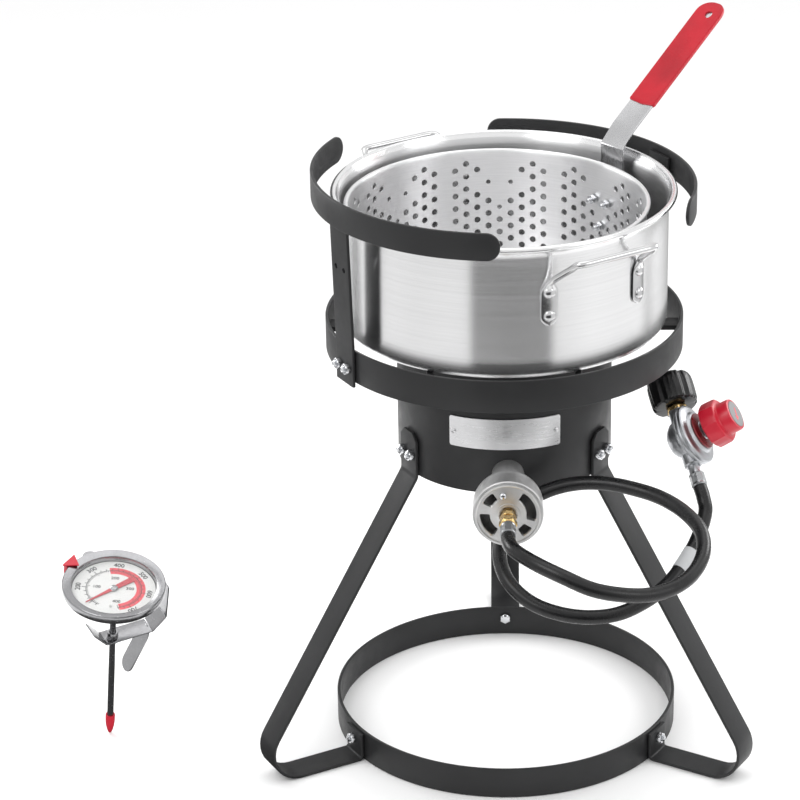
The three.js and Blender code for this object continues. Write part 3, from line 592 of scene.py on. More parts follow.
def build_stand():
    piece_for("floor_ring", band(FLOOR_RING_RADIUS, STRIP, 0, 30.5), BLACK)
    piece_for("top_ring", band(TOP_RING_RADIUS, STRIP, TOP_RING_BOTTOM, TOP_RING_TOP), BLACK)
    housing = band(HOUSING_RADIUS, 2.5, 290, 411.7)
    lip = lathe([(99.8, 408.5), (103.1, 408.7), (103.1, 411.5), (99.8, 411.7)], 192, closed=True)
    piece_for("burner_housing", merged(housing, lip), BLACK)
    for side, azimuth in LEG_AZIMUTHS.items():
        build_leg(side, azimuth)
    for side, sign in (("left", -1), ("right", 1)):
        build_support(side, sign)
        build_guard(side, *GUARDS[side])
    build_nameplate()


def build_leg(side, azimuth):
    """Rounded tab on the housing, splayed leg, curved foot, and a tab inside the floor ring."""
    wall, floor_line = HOUSING_RADIUS + GAP + STRIP / 2, STRIP / 2
    run, rise = LEG_REACH - STRIP / 2 - FOOT_BEND - wall, KNEE_Z - floor_line - FOOT_BEND
    splay = atan2(run, rise) + asin(FOOT_BEND / hypot(run, rise))
    heel = wall + (KNEE_Z - floor_line) * tan(splay)
    tab = FLOOR_RING_RADIUS + GAP + STRIP / 2
    line = [Vector((wall, LEG_TOP)), Vector((wall, LEG_TOP - 2))]
    line += rounded([(wall, LEG_TOP - 7), (wall, KNEE_Z, 10), (heel, floor_line, FOOT_BEND),
                     (tab, floor_line, 3.5), (tab, 28)], 12)
    halves = [8, 10] + [15] * (len(line) - 2)
    turn = turn_z(azimuth)
    piece_for(f"leg_{side}", bent_strip(line, halves, STRIP), BLACK, turn)
    bolt = hexagon_bolt(HOUSING_RADIUS - 3.4, HOUSING_RADIUS + GAP + STRIP)
    for i, y in enumerate(BOLT_PAIR):
        piece_for(f"leg_bolt_{side}_{i + 1}", bolt, ZINC, turn @ shift(0, y, LEG_BOLT_Z))
    foot = hexagon_bolt(FLOOR_RING_RADIUS - 3.4, tab + STRIP / 2)
    piece_for(f"foot_bolt_{side}", foot, ZINC, turn @ shift(z=FOOT_BOLT_Z))


def build_support(side, sign):
    """One bar under the pot, and the short arm that ties it to the ring's side."""
    inside = TOP_RING_RADIUS - 3.6
    reach = sqrt(inside ** 2 - (SUPPORT_X + STRIP) ** 2)
    section = rounded_box_section(3, 7.85, 0.8)
    bar = skin([[Vector((sign * SUPPORT_X + x, y, SUPPORT_Z + z)) for x, z in section]
                for y in (-reach, -reach / 2, 0, reach / 2, reach)])
    piece_for(f"support_bar_{side}", bar, BLACK)
    flat = rounded_box_section(10, 2.5, 0.7)
    arm = skin([[Vector((sign * x, y, ARM_Z + z)) for y, z in flat]
                for x in (SUPPORT_X + STRIP + GAP, 100, 130, sqrt(inside ** 2 - 10 ** 2))])
    piece_for(f"side_arm_{side}", arm, BLACK)


def build_guard(side, start, end, bottom, upright):
    corner, middle_radius = 12.5, GUARD_RADIUS - STRIP / 2
    turn = degrees(corner / GUARD_RADIUS)
    nose = [(start + turn * (1 - cos(radians(a))), corner * (1 - sin(radians(a))))
            for a in range(2, 90, 8)]
    middle = [(start + turn + (end - start - 2 * turn) * k / 90, 0) for k in range(91)]
    tail = [(start + end - azimuth, drop) for azimuth, drop in reversed(nose)]
    loops = []
    for azimuth, drop in nose + middle + tail:
        half = GUARD_HEIGHT / 2 - drop
        section = rounded_box_section(STRIP / 2, half, min(0.6, half * 0.8))
        loops.append(on_arc(azimuth, [(middle_radius + x, bottom + GUARD_HEIGHT / 2 + z)
                                      for x, z in section]))
    piece_for(f"pot_guard_{side}", skin(loops), BLACK)

    turn = turn_z(upright)
    foot = TOP_RING_RADIUS + GAP + STRIP / 2
    head = sqrt(((GUARD_RADIUS - STRIP) * cos(radians(3))) ** 2 - 16 ** 2) - GAP - STRIP / 2
    line = rounded([(foot, 399), (foot, TOP_RING_TOP + 4, 30), (head, bottom - 6, 30),
                    (head, bottom + GUARD_HEIGHT - 6)], 8)
    piece = piece_for(f"guard_upright_{side}", bent_strip(line, 16, STRIP, 0.9), BLACK, turn)
    drill = lathe([(0, 160), (2.6, 160), (2.6, 190), (0, 190)], 20)
    carve(piece, [moved(drill, turn @ shift(0, y, bottom - 41) @ ALONG_X) for y in (-7.4, 7.4)])
    bolt = hexagon_bolt(TOP_RING_RADIUS - 3.6, foot + STRIP / 2)
    for i, y in enumerate(BOLT_PAIR):
        piece_for(f"upright_bolt_{side}_{i + 1}", bolt, ZINC, turn @ shift(0, y, GUARD_BOLT_Z))


def build_nameplate():
    start, end, low, high = NAMEPLATE
    inner, outer = HOUSING_RADIUS + GAP + 0.1, HOUSING_RADIUS + GAP + 1.2
    corner = ((0.02, 2), (0.12, 1.2), (0.4, 0.5), (1.1, 0))
    stations = [(start + azimuth, drop) for azimuth, drop in corner]
    stations += [(start + 1.1 + (end - start - 2.2) * k / 40, 0) for k in range(1, 40)]
    stations += [(end - azimuth, drop) for azimuth, drop in reversed(corner)]
    loops = [on_arc(azimuth, [(inner, low + drop), (outer - 0.2, low + drop),
                              (outer, low + drop + 0.2), (outer, high - drop - 0.2),
                              (outer - 0.2, high - drop), (inner, high - drop)])
             for azimuth, drop in stations]
    rivet = lathe([(0, outer - 0.5), (2.6, outer - 0.5), (2.6, outer + 0.3), (1.9, outer + 0.9),
                   (0, outer + 1.1)], 20)
    rivets = [moved(rivet, turn_z(azimuth) @ shift(z=(low + high) / 2) @ ALONG_X)
              for azimuth in (start + 2.4, end - 2.4)]
    piece_for("nameplate", merged(skin(loops), *rivets), PLATE_STEEL)


# ---------------------------------------------------------------- burner

BURNER = shift(BURNER_X, 0, BURNER_Z) @ ALONG_MINUS_Y        # local +Z looks towards -Y
FRONT = BURNER @ shift(z=FACE)                               # at the tube's face


def build_burner():
    """Profiles from the tube's face are in FRONT, the others in BURNER."""
    outer = [(12, 32), (15, 32), (15, 130), (15.6, 137), (17.6, 142), (21, 146.5), (25, 150.5),
             (28.4, 155), (31, 160), (32.1, 164), (32.5, 168), (32.5, FACE - 1), (31.7, FACE)]
    inner = [(29.5, FACE), (29.5, FACE - 18), (26.5, 160), (22, 154), (14, 146), (12, 138),
             (12, 32)]
    windows = [air_window(w) for w in AIR_WINDOWS]
    face = plate(circle(30.2, sides=96), [*windows, circle(5, sides=24)], FACE - 3.5, FACE - 0.4,
                 0.5)
    ribs = []
    for sign in (-1, 1):
        line = [Vector((sign * x, 0, z))
                for x, z in ((14.2, 104), (15.6, 112), (16.6, 125), (17.2, 140),
                                                      (18.2, 146))]
        ribs.append(tube(line, [(1.9, 1.4), (2.6, 2.0), (3.0, 2.4), (3.4, 2.8), (3.4, 2.8)],
                         (1, 0, 0)))
    piece_for("burner_tube", merged(lathe(outer + inner, 96), face, *ribs), CAST_ALUMINIUM, BURNER)

    disc = plate(circle(30, sides=96), [*windows, circle(8.6, sides=32)], GAP, 1.8, 0.35)
    collar = lathe([(8.6, 1.2), (11.4, 1.6), (11.2, 2.6), (8.6, 2.8)], 48, closed=True)
    rim = lathe([(28.4, 1.5), (30, 1.5), (30, 2.6), (29.2, 3.0), (28.4, 2.6)], 96, closed=True)
    piece_for("air_shutter", merged(disc, collar, rim), CAST_ALUMINIUM, FRONT)
    screw = lathe([(0, 0.4), (1.7, 0.4), (1.7, 2), (3.4, 2.1), (3.5, 2.6), (3.1, 3.8), (2, 4.6),
                   (0, 4.8)], 24)
    azimuth, radius = SHUTTER_SCREW
    seat = shift(radius * cos(radians(azimuth)), radius * sin(radians(azimuth)))
    piece_for("shutter_screw", screw, ZINC, FRONT @ seat)

    piece_for("orifice_fitting", lathe([
        (0, -12), (4.5, -12), (4.5, 0.3), (6.6, 0.3), (7.6, 1, 6), (7.6, 11.3, 6), (6.4, 12),
        (5, 12.1), (4.6, 13), (5, 13.5), (4.7, 14.2), (5, 15), (0, 15)], 48), BRASS, FRONT)
    flare = piece_for("flare_nut", lathe([
        (0, 15.3), (6.8, 15.3), (8.4, 16.4, 6), (8.4, 24, 6), (7.0, 25), (6.4, 25.4), (6.4, 27),
        (0, 27)], 48),
        BRASS, FRONT)
    ferrule = piece_for("hose_ferrule_burner", crimped(27.3, 46.7), FERRULE_STEEL, FRONT)

    head = [(0, 327), (22, 327), (34, 330), (50, 334), (54, 337), (55, 340), (55, 350),
            (53.5, 352.5), (53.4, 350.1), (0, 350.1)]
    ports = [circle(1.1, r * cos(tau * k / count), r * sin(tau * k / count), 10)
             for r, count in ((49, 40), (24, 20)) for k in range(count)]
    crown = lathe([(0, 353), (46, 353), (43, 357.4), (40, 358), (36, 354.5), (32, 358), (28, 359),
                   (20, 358.6), (17, 355.2), (10, 355), (0, 355)], 96)
    boss = lathe([(0, 12), (11, 12), (11, 31.7), (14.6, 31.7), (16, 30.4), (16, -20), (14, -22),
                  (0, -22)], 48)
    stem = lathe([(0, 331), (20, 331), (19.4, 320), (20, 302), (18, 300), (0, 300)], 48)
    deck = plate(circle(53.5, sides=96), ports, 350, 353.5)
    iron = merged(lathe(head, 96), deck, crown, moved(boss, BURNER), stem)
    piece_for("burner_head", iron, CAST_IRON)
    section = rounded_box_section(12.5, 1.4, 0.5)
    strap = skin([[Vector((x, y, 291.8 + z)) for y, z in section]
                  for x in (-98.3, -50, 0, 50, 98.3)])
    bolt = lathe([(0, 286), (6.4, 286), (7.4, 286.6, 6), (7.4, 290.4, 6), (4, 290.4), (4, 300),
                  (0, 300)], 24)
    piece_for("burner_strap", merged(strap, bolt), BLACK)
    return flare, ferrule


def crimped(start, end, radius=7.5):
    """A steel ferrule with eight crimped flutes between two plain collars."""
    span = end - start

    def flute(turn, r, z):
        return r * (1 - 0.075 * abs(cos(4 * turn))) if 0.18 < (z - start) / span < 0.86 else r
    steps = ((0, 0.86), (0.04, 0.96), (0.1, 1), (0.14, 0.97), (0.19, 0.99), (0.3, 1), (0.5, 1),
             (0.7, 1), (0.85, 0.99), (0.88, 0.95), (0.92, 1), (0.97, 0.97), (1, 0.86))
    profile = [(0, start), *((radius * r, start + span * s) for s, r in steps), (0, end)]
    return lathe(profile, 64, reshape=flute)


# ---------------------------------------------------------------- hose and regulator


def build_hose():
    line = smooth_line(HOSE_ROUTE)
    curve = bpy.data.curves.new("gas_hose_piece", "CURVE")
    curve.dimensions = "3D"
    curve.bevel_depth = (HOSE_DIAMETER / 2 - 0.25) * MM       # just inside the CAD's hose
    curve.bevel_resolution = 8
    curve.use_fill_caps = True
    spline = curve.splines.new("POLY")
    spline.points.add(len(line) - 1)
    for point, at in zip(spline.points, line):
        point.co = (*(at * MM), 1)
    curve.materials.append(HOSE_RUBBER)
    hose = in_scene("gas_hose_piece", curve)
    hose.location = AXIS
    stand_for("gas_hose", hose)

    start, end = LABEL_STEPS
    radius = HOSE_DIAMETER / 2 + 0.25
    sleeve = tube(line[start:end], (radius, radius), (0, 0, 1))
    label = detail("hose_label", sleeve, LABEL_GREY, "hose_ferrule_regulator")


def regulator_frame():
    inlet = INLET.normalized()
    knob = (KNOB - inlet * KNOB.dot(inlet)).normalized()
    turn = Matrix((knob, inlet.cross(knob), inlet)).transposed().to_4x4()
    return Matrix.Translation(REGULATOR_AT) @ turn


def build_regulator():
    """Local axes: +Z towards the cylinder, +X out through the cover and knob."""
    place = regulator_frame()
    across = place @ ALONG_X
    cup = [(0, -14), (11.5, -14), (13, -13), (15.5, -10.5), (18.5, -7), (20, -3), (22, 1),
           (25.5, 3.4), (28.6, 4.8), (29.5, 6), (29.5, 8.2), (28.9, 9), (0, 9)]
    barrel = [(0, -30), (7.6, -30), (8.8, -28.6), (8.8, -14), (9.8, -12), (9.8, 12), (8.8, 14),
              (8.8, 27), (9.8, 28, 6), (9.8, 30, 6), (0, 30)]
    outlet = [(0, -38), (6.0, -38), (6.6, -37, 6), (6.6, -31, 6), (6, -30), (0, -30)]
    rib = skin([[Vector((x, y, z)) for y, z in rounded_box_section(1.2, 9 + x, 0.5)]
                for x in (-12, 4)])
    ribs = [moved(rib, Matrix.Rotation(radians(a), 4, "X")) for a in (45, 135)]
    body = merged(moved(lathe(cup, 96), ALONG_X), lathe(barrel, 48), lathe(outlet, 36), *ribs)
    bonnet = lathe([(0, 9.3), (29, 9.3), (29.5, 9.8), (29.5, 11.9), (28.6, 12.9), (26, 13.6),
                    (21.6, 14.2), (20.6, 15), (19.6, 16.8), (18.4, 17.6), (10.6, 18.4), (9.4, 19.2),
                    (8.4, 20.8), (0, 21)], 96)
    nipple = lathe([(0, 30.3), (9.4, 30.3), (10.5, 31, 6), (10.5, 33, 6), (8.4, 33.8), (7.6, 34.4),
                    (7.6, 39.2), (8.2, 39.6), (10.4, 39.8), (10.4, 42.4), (8.2, 43.2), (7.6, 43.8),
                    (7.6, 57), (6.8, 59), (5, 61), (2.4, 61), (2.4, 55), (0, 55)], 48)
    parts = [piece_for("regulator_body", body, CAST_ZINC, place),
             piece_for("regulator_bonnet", bonnet, CAST_ZINC, across),
             piece_for("inlet_nipple", nipple, BRASS, place),
             piece_for("hose_ferrule_regulator", crimped(-51.7, -38.3), FERRULE_STEEL, place),
             piece_for("regulator_knob", knob_shape(), RED_PLASTIC, across),
             piece_for("coupling_nut", nut_shape(), BLACK_PLASTIC, place, 28)]
    label = lathe([(0, 56), (12.6, 56), (12.9, 56.2), (12.6, 56.45), (0, 56.5)], 64)
    arrow = [(-6.5, -0.9), (2.5, -0.9), (2.5, -3.2), (7.5, 0), (2.5, 3.2), (2.5, 0.9), (-6.5, 0.9)]
    ring = lathe([(9.2, 18.2), (17.6, 17.8), (18.2, 18.4), (17.8, 19.3), (9.2, 20)], 96,
                 closed=True)
    for name, shape, material, like in (
            ("knob_stem_thread", threaded(6.2, 18.6, 27.5, 1.2), FERRULE_STEEL, "regulator_body"),
            ("knob_label", label, LABEL_DARK, "regulator_knob"),
            ("knob_label_arrow", flat_loop(arrow, 56.45, 56.62), INK_RED, "regulator_knob"),
            ("bonnet_ring", ring, DARK_RED, "regulator_bonnet")):
        parts.append(detail(name, shape, material, like, across))
    return parts


def threaded(radius, start, end, pitch):
    profile = [(0, start)]
    for k in range(int((end - start) / pitch)):
        z = start + pitch * k
        profile += [(radius - 0.7, z), (radius, z + pitch / 2)]
    return lathe([*profile, (radius - 0.7, end), (0, end)], 48)


def knob_shape():
    """Octagonal grip with a round cap, about Z."""
    def octagon(turn, r, z):
        if not 27 <= z <= 43.6:
            return r
        return 0.1 * r + 0.9 * polygon_radius(turn + pi / 8, r, 8) + 0.25 * cos(8 * turn)
    return lathe([(0, 21.3), (5.5, 21.3), (5.5, 26.4), (17, 27), (21.2, 27.2), (22.3, 28.4),
                  (22.4, 31), (22.1, 41), (21.6, 42.8), (20.2, 43.6), (16.6, 43.9), (15.9, 44.6),
                  (15.8, 54), (15.2, 55.6), (14.2, 56), (13.2, 56), (13.2, 55.4), (0, 55.4)], 128,
                 reshape=octagon)


def nut_shape():
    """Hand nut with six broad ribbed lobes and a threaded mouth."""
    def lobes(turn, r, z):
        if r < 17.5:
            return r
        wave = cos(6 * turn)
        dip = max(0.0, -wave - 0.55) * 4.2
        rib = 0.35 * (abs((turn * 30 / tau) % 1 - 0.5) * 2) * (wave > -0.35)
        return r - dip - rib
    outer = [(9, 35), (17, 35), (20, 35.4), (21.3, 36.6), (22, 39), (22.3, 47), (22.3, 57),
             (21.8, 62), (20.8, 64.4), (19.6, 65), (16.2, 65), (15.5, 64.2)]
    thread = [(15.5 if k % 2 else 15.2, 62.8 - 1.2 * k) for k in range(10)]
    return lathe([*outer, *thread, (15.5, 45), (9, 45), (9, 35)], 240, reshape=lobes)


# ---------------------------------------------------------------- pot


def build_pot():
    outer = [(0, POT_BOTTOM), (60, POT_BOTTOM), (120, POT_BOTTOM), *arc(146, 436, 8, -90, 0, 8),
             (154, 460), (154, 500), (154, 535), (154, 545), (154.4, 549), (155.6, 551.8),
             (157.2, 553.2)]
    bead = arc(159.1, 555.8, 2.9, -125, 165, 20)
    inner = [(156.0, 555.4), (154.2, 553.2), (152.9, 550), (152.4, 546), (152.4, 500), (152.4, 460),
             *arc(145.6, 436.4, 6.8, 0, -90, 8), (120, 429.6), (60, 429.6), (0, 429.6)]
    pot = piece_for("pot", lathe(outer + bead + inner, 192), POT_METAL)
    # the inner wall and its corner take the darker inside material, whose colour is painted shade
    pot.data.materials.append(POT_INSIDE_SATIN_AND_SHADE)
    for face in pot.data.polygons:
        inward = face.normal.xy.dot(face.center.xy) < 0
        face.material_index = int(inward and face.center.xy.length < (POT_RADIUS + 0.1) * MM)
    for side, azimuth in POT_HANDLES.items():
        build_pot_handle(side, azimuth)
    dome = moved(lathe([(0, 0), (6.2, 0), (6.2, 0.5), (5.2, 1.5), (3, 2.3), (0, 2.6)], 28),
                 Matrix.Rotation(-pi / 2, 4, "Y"))
    heads = [moved(dome, turn_z(azimuth + side) @ shift(152.3, 0, z))
             for azimuth in POT_HANDLES.values() for side in (-18.3, 18.3) for z in RIVET_LEVELS]
    detail("pot_inner_rivets", merged(*heads), RIVET_METAL, "pot")


def build_pot_handle(side, azimuth):
    """One rod with its two ends forged flat, drawn as two mirrored halves."""
    turn = asin(HANDLE_HALF_SPAN / POT_RADIUS)
    face = POT_RADIUS + GAP
    out, wide = Vector((cos(turn), sin(turn), 0)), Vector((-sin(turn), cos(turn), 0))
    paddle = [(480.6, 1.5), (481.2, 4.2), (483, 6.4), (486, 7.8), (490, 8.2), (501, 8.2),
              (512, 8.2), (516, 7.4), (519.5, 5.4), (522.5, 3.9)]
    points = [out * (face + 1.3 + max(0, z - 514) * 0.25) + Vector((0, 0, z)) for z, _ in paddle]
    sections = [(half, 1.2 + max(0, z - 512) * 0.16) for z, half in paddle]
    wall = POT_RADIUS * cos(turn)
    bend = smooth_line([points[-1], (wall + 9.5, 47.6, 528), (175, 44.2, 542.4),
                        (180.5, 42.4, 547.2), (184, 39.4, 548.8), (185.5, 33.5, 549),
                        (185.5, 22, 549), (185.5, 0, 549)], 8)
    line = points + bend[1:]
    sections += [(3.2, 3.2)] * (len(line) - len(points))
    verts, faces = tube(line, sections, wide, caps=False)
    faces.append(list(range(ROD_SIDES)))
    other = [Vector((v.x, -v.y, v.z)) for v in verts], faces
    head = lathe([(0, 0), (5.75, 0), (5.75, 0.4), (5, 1.6), (3, 2.6), (0, 3.1)], 28)
    rivets = [moved(head, turn_z(sign * degrees(turn)) @ shift(face + 2.3, 0, z) @ ALONG_X)
              for sign in (-1, 1) for z in RIVET_LEVELS]
    piece_for(f"pot_handle_{side}", merged((verts, faces), other, *rivets), ROD_METAL,
              turn_z(azimuth))


# ---------------------------------------------------------------- basket

ROW_PITCH, FIRST_ROW, COLUMN = 13, 534, 4.5
HOLE_ROWS = {0: (3.5, 4.5, 5.5, 6.5), 1: (1.5, 3, 4, 5, 6), 2: (0.5, 2.5, 3.5, 4.5, 5.5, 6.5),
             3: (0, 1, 2, 3, 4, 5, 6), 4: (0.5, 1.5, 2.5, 3.5, 4.5, 5.5, 6.5)}
LEVELS = 16                                                  # half rows of the perforated wall
WALL_TOP = FIRST_ROW + ROW_PITCH / 2
SMALL_HOLES = {0: 7, 1: 3}                                   # column: level


def hole_plan(group, column):
    """Level and radius of each hole in one column, counted from the group's middle."""
    if abs(column) > 4:
        return {}
    plan = {round(row * 2): HOLE for row in HOLE_ROWS[abs(column)]}
    if abs(column) in SMALL_HOLES:
        plan[SMALL_HOLES[abs(column)]] = SMALL_HOLE
        if group == 0:
            del plan[SMALL_HOLES[abs(column)]]                # the handle's screws take their place
    return plan


def level_z(level):
    return WALL_TOP - level * ROW_PITCH / 2


def perforated_wall():
    """Inner and outer wall as one sheet each, joined round every hole."""
    verts, faces = [], []
    radii = (BASKET_RADIUS, BASKET_RADIUS - BASKET_SHEET)
    sides = 16
    nearest = [0, 1, 1, 1, 1, 2, 2, 2, 3, 4, 4, 4, 5, 5, 5, 5]     # cell corner by hole point

    def vertex(radius, azimuth, z):
        a = radians(azimuth)
        verts.append(Vector((radius * cos(a), radius * sin(a), z)))
        return len(verts) - 1

    def cell(radius, middle, level, hole):
        """A two-level cell of the sheet round one hole; gives the hole's ring of vertices."""
        left, right = middle - COLUMN / 2, middle + COLUMN / 2
        high, mid, low = (level_z(level + k) for k in range(3))
        edge = [vertex(radius, a, z) for a, z in ((right, mid), (right, high), (left, high),
                                                  (left, mid), (left, low), (right, low))]
        turns = [tau * k / sides for k in range(sides)]
        ring = [vertex(radius, middle + degrees(hole * cos(t) / BASKET_RADIUS), mid + hole * sin(t))
                for t in turns]
        for k in range(sides):
            n = (k + 1) % sides
            a, b = edge[nearest[k]], edge[nearest[n]]
            faces.append([a, ring[n], ring[k]] if a == b else [a, b, ring[n], ring[k]])
        return ring

    for group in range(8):
        for column in range(-4, 6):
            middle = group * 45 + column * COLUMN
            left, right = middle - COLUMN / 2, middle + COLUMN / 2
            holes = hole_plan(group, column)
            level = 0
            while level < LEVELS - 1:
                if level in holes:
                    rings = [cell(radius, middle, level, holes[level]) for radius in radii]
                    for k in range(sides):
                        n = (k + 1) % sides
                        faces.append([rings[0][k], rings[0][n], rings[1][n], rings[1][k]])
                    level += 2
                else:
                    high, low = level_z(level), level_z(level + 1)
                    for radius in radii:
                        faces.append([vertex(radius, a, z) for a, z in ((left, high), (right, high),
                                                                        (right, low), (left, low))])
                    level += 1
    return verts, faces


def build_basket():
    bottom = level_z(LEVELS - 1)
    outer, inner = BASKET_RADIUS, BASKET_RADIUS - BASKET_SHEET
    half_column = turn_z(COLUMN / 2)
    rim = lathe([(outer, WALL_TOP), (outer, 543), *arc(outer + 1.2, 545.8, 2.2, -150, 160, 16),
                 (inner, 544), (inner, WALL_TOP)], 80)
    middle, radius = (BASKET_FLOOR, BASKET_BOTTOM + BASKET_CORNER), BASKET_CORNER
    corner = lathe([(outer, bottom), *arc(*middle, radius, 0, -90, 8),
                    *arc(*middle, radius - BASKET_SHEET, -90, 0, 8), (inner, bottom)], 80)
    holes = []
    for ring in range(1, 10):
        for k in range(6 * ring):
            turn = tau * (k + 0.5 * (ring % 2)) / (6 * ring)
            reach = ROW_PITCH * ring
            holes.append(circle(HOLE, reach * cos(turn), reach * sin(turn), 14))
    floor_plate = plate(circle(BASKET_FLOOR, sides=80), holes, BASKET_BOTTOM,
                        BASKET_BOTTOM + BASKET_SHEET, 0.05)
    shapes = [perforated_wall(), *(moved(s, half_column) for s in (rim, corner, floor_plate))]
    place = turn_z(HANDLE_AZIMUTH) @ shift(-BASKET_SHIFT)
    piece_for("basket", merged(*shapes), BASKET_METAL, place, 30)
    build_basket_handle()


def build_basket_handle():
    turn = turn_z(HANDLE_AZIMUTH)
    wall = BASKET_RADIUS - BASKET_SHIFT + GAP + 1.2
    slope = radians(HANDLE_SLOPE)
    run, rise = Vector((cos(slope), sin(slope))), Vector((-sin(slope), cos(slope)))
    elbow = Vector(ELBOW)
    line = rounded([(wall, 474), (wall, 524, 5), (ELBOW[0], 539, 5), (*ELBOW, 3),
                    tuple(elbow + run * 20)], 8)
    steps = 24
    line = line[:-1] + [elbow + run * (14 + (HANDLE_LENGTH - 14) * k / steps)
                        for k in range(steps + 1)]
    folds, halves = [], []
    for point in line:
        reach = (point - elbow).dot(run) if point.y > ELBOW[1] else 0
        folds.append(0.2 * min(1, max(0, reach - 3) / 18))
        left = min(HANDLE_LENGTH - reach, BAR_HALF)
        halves.append(max(1.0, sqrt(max(0, BAR_HALF ** 2 - (BAR_HALF - left) ** 2))))
    piece_for("basket_handle", bent_strip(line, halves, 2, 0.5, folds), HANDLE_STEEL, turn)

    start, end, half = GRIP_START, HANDLE_LENGTH + 1.4, 15.9
    stations = [(start, half * 0.93, 1.7), (start + 0.5, half * 0.98, 2.15),
                (start + 1.6, half, 2.4)]
    stations += [(start + 4 + k * 9, half, 2.4) for k in range(12)]
    stations += [(end - half + half * sin(radians(a)), max(1.2, half * cos(radians(a))),
                  2.4 - 0.9 * (a / 90) ** 4) for a in range(0, 91, 9)]
    loops = []
    for reach, wide, thick in stations:
        section = [(across, lift + 0.2 * abs(across))
                   for across, lift in rounded_box_section(wide, thick, min(1.6, thick * 0.85), 5)]
        quarter = len(section) // 4
        section.insert(3 * quarter + 1, (0, -thick))
        section.insert(quarter, (0, thick))
        at = elbow + run * reach
        loops.append([Vector((at.x + rise.x * out, across, at.y + rise.y * out))
                      for across, out in section])
    grip = piece_for("handle_grip", skin(loops), RED_VINYL, turn, 50)
    eye = elbow + run * (HANDLE_LENGTH - 14)
    drill = lathe([(0, -12), (4, -12), (4, 12), (0, 12)], 32)
    carve(grip, [moved(drill, turn @ shift(eye.x, 0, eye.y) @ Matrix.Rotation(-slope, 4, "Y"))])

    for i, (y, z) in enumerate(BASKET_SCREWS):
        inside = BASKET_RADIUS - BASKET_SHIFT - 2.4 - (0.5 if abs(y) > 4 else 0)
        head = wall + 1.3 - inside
        thread = [(1.95 if k % 2 else 2.2, -7.4 + 0.4 * k) for k in range(7)]
        screw = lathe([(0, -8), (1.6, -8), *thread, (2.2, -3.7), (3.8, -3.7), (4.6, -3.2, 6),
                       (4.6, -0.3, 6), (2.2, -0.3), (2.2, head), (4.4, head), (4.4, head + 1),
                       (3.4, head + 2), (0, head + 2.5)], 24)
        piece_for(f"basket_screw_{i + 1}", screw, ZINC, turn @ shift(inside, y, z) @ ALONG_X)


# ---------------------------------------------------------------- thermometer

# outlines of an 80 mm dial, drawn 1.25 times as large
THERMOMETER = (shift(-393, -42, 0) @ Matrix.Rotation(radians(14), 4, "X")
               @ Matrix.Rotation(radians(5.6), 4, "Y") @ Matrix.Scale(1.25, 4))
STEM_LENGTH, CASE_HEIGHT = 149, 9
DIAL = 2.75                                                  # the enamel's height in the case
CASE = THERMOMETER @ shift(z=STEM_LENGTH)
POINTER_AT, MARKER_AT, EAR_AT, PEG_AT, CLIP_AT = 42, 150, 122, 268, 30    # azimuths on the dial
CLIP_DROP, SCALE_RADIUS = 45, 21.4


def dial_angle(celsius):
    return 257.7 - 0.837 * celsius


def dial_band(inner, outer, start, end, low, high):
    steps = max(2, int(abs(end - start) / 3))
    loop = arc(0, 0, outer, start, end, steps) + arc(0, 0, inner, end, start, steps)
    return flat_loop(loop, low, high)


def tick(angle, inner, outer, half):
    shape = flat_loop([(inner, -half), (outer, -half), (outer, half), (inner, half)], DIAL,
                      DIAL + 0.1)
    return moved(shape, turn_z(angle))


def numeral(text, radius, angle, size):
    """A dial number as a flat mesh, centred at a place on the dial."""
    curve = bpy.data.curves.new("numeral", "FONT")
    curve.body, curve.size = text, size
    curve.align_x, curve.align_y = "CENTER", "CENTER"
    curve.extrude, curve.resolution_u = 0.04, 3
    curve.offset = 0.02 * size
    holder = in_scene("numeral", curve)
    mesh = evaluated(holder)
    x, y = radius * cos(radians(angle)), radius * sin(radians(angle))
    place = shift(x, y, DIAL + 0.06) @ turn_z(angle - 90 if radius > 20 else 0)
    points, faces = [v.co.copy() for v in mesh.vertices], [list(p.vertices) for p in mesh.polygons]
    shape = moved((points, faces), place)
    bpy.data.objects.remove(holder)
    bpy.data.meshes.remove(mesh)
    return shape


def build_dial():
    """Red zone, scale lines and numbers, in Celsius inside and Fahrenheit outside."""
    red = dial_band(17.4, 24.3, dial_angle(185), dial_angle(397), DIAL + 0.01, DIAL + 0.06)
    detail("dial_red_zone", red, INK_RED, "dial_plate", CASE)
    marks = [dial_band(21.15, 21.6, dial_angle(20), dial_angle(400), DIAL + 0.06, DIAL + 0.1)]
    for celsius in range(20, 401, 5):
        length = 3.0 if celsius % 50 == 0 else 1.7
        marks.append(tick(dial_angle(celsius), SCALE_RADIUS - length, SCALE_RADIUS, 0.2))
    for fahrenheit in range(75, 751, 25):
        length = 3.2 if fahrenheit % 100 == 0 else 1.8
        angle = dial_angle((fahrenheit - 32) / 1.8)
        marks.append(tick(angle, SCALE_RADIUS, SCALE_RADIUS + length, 0.26))
    for fahrenheit in range(200, 701, 100):
        marks.append(numeral(str(fahrenheit), 27.4, dial_angle((fahrenheit - 32) / 1.8), 5.6))
    for celsius, radius in ((100, 13.4), (200, 12.4), (300, 12.4), (400, 14.4)):
        marks.append(numeral(str(celsius), radius, dial_angle(celsius), 4.2))
    detail("dial_marks", merged(*marks), INK_BLACK, "dial_plate", CASE)


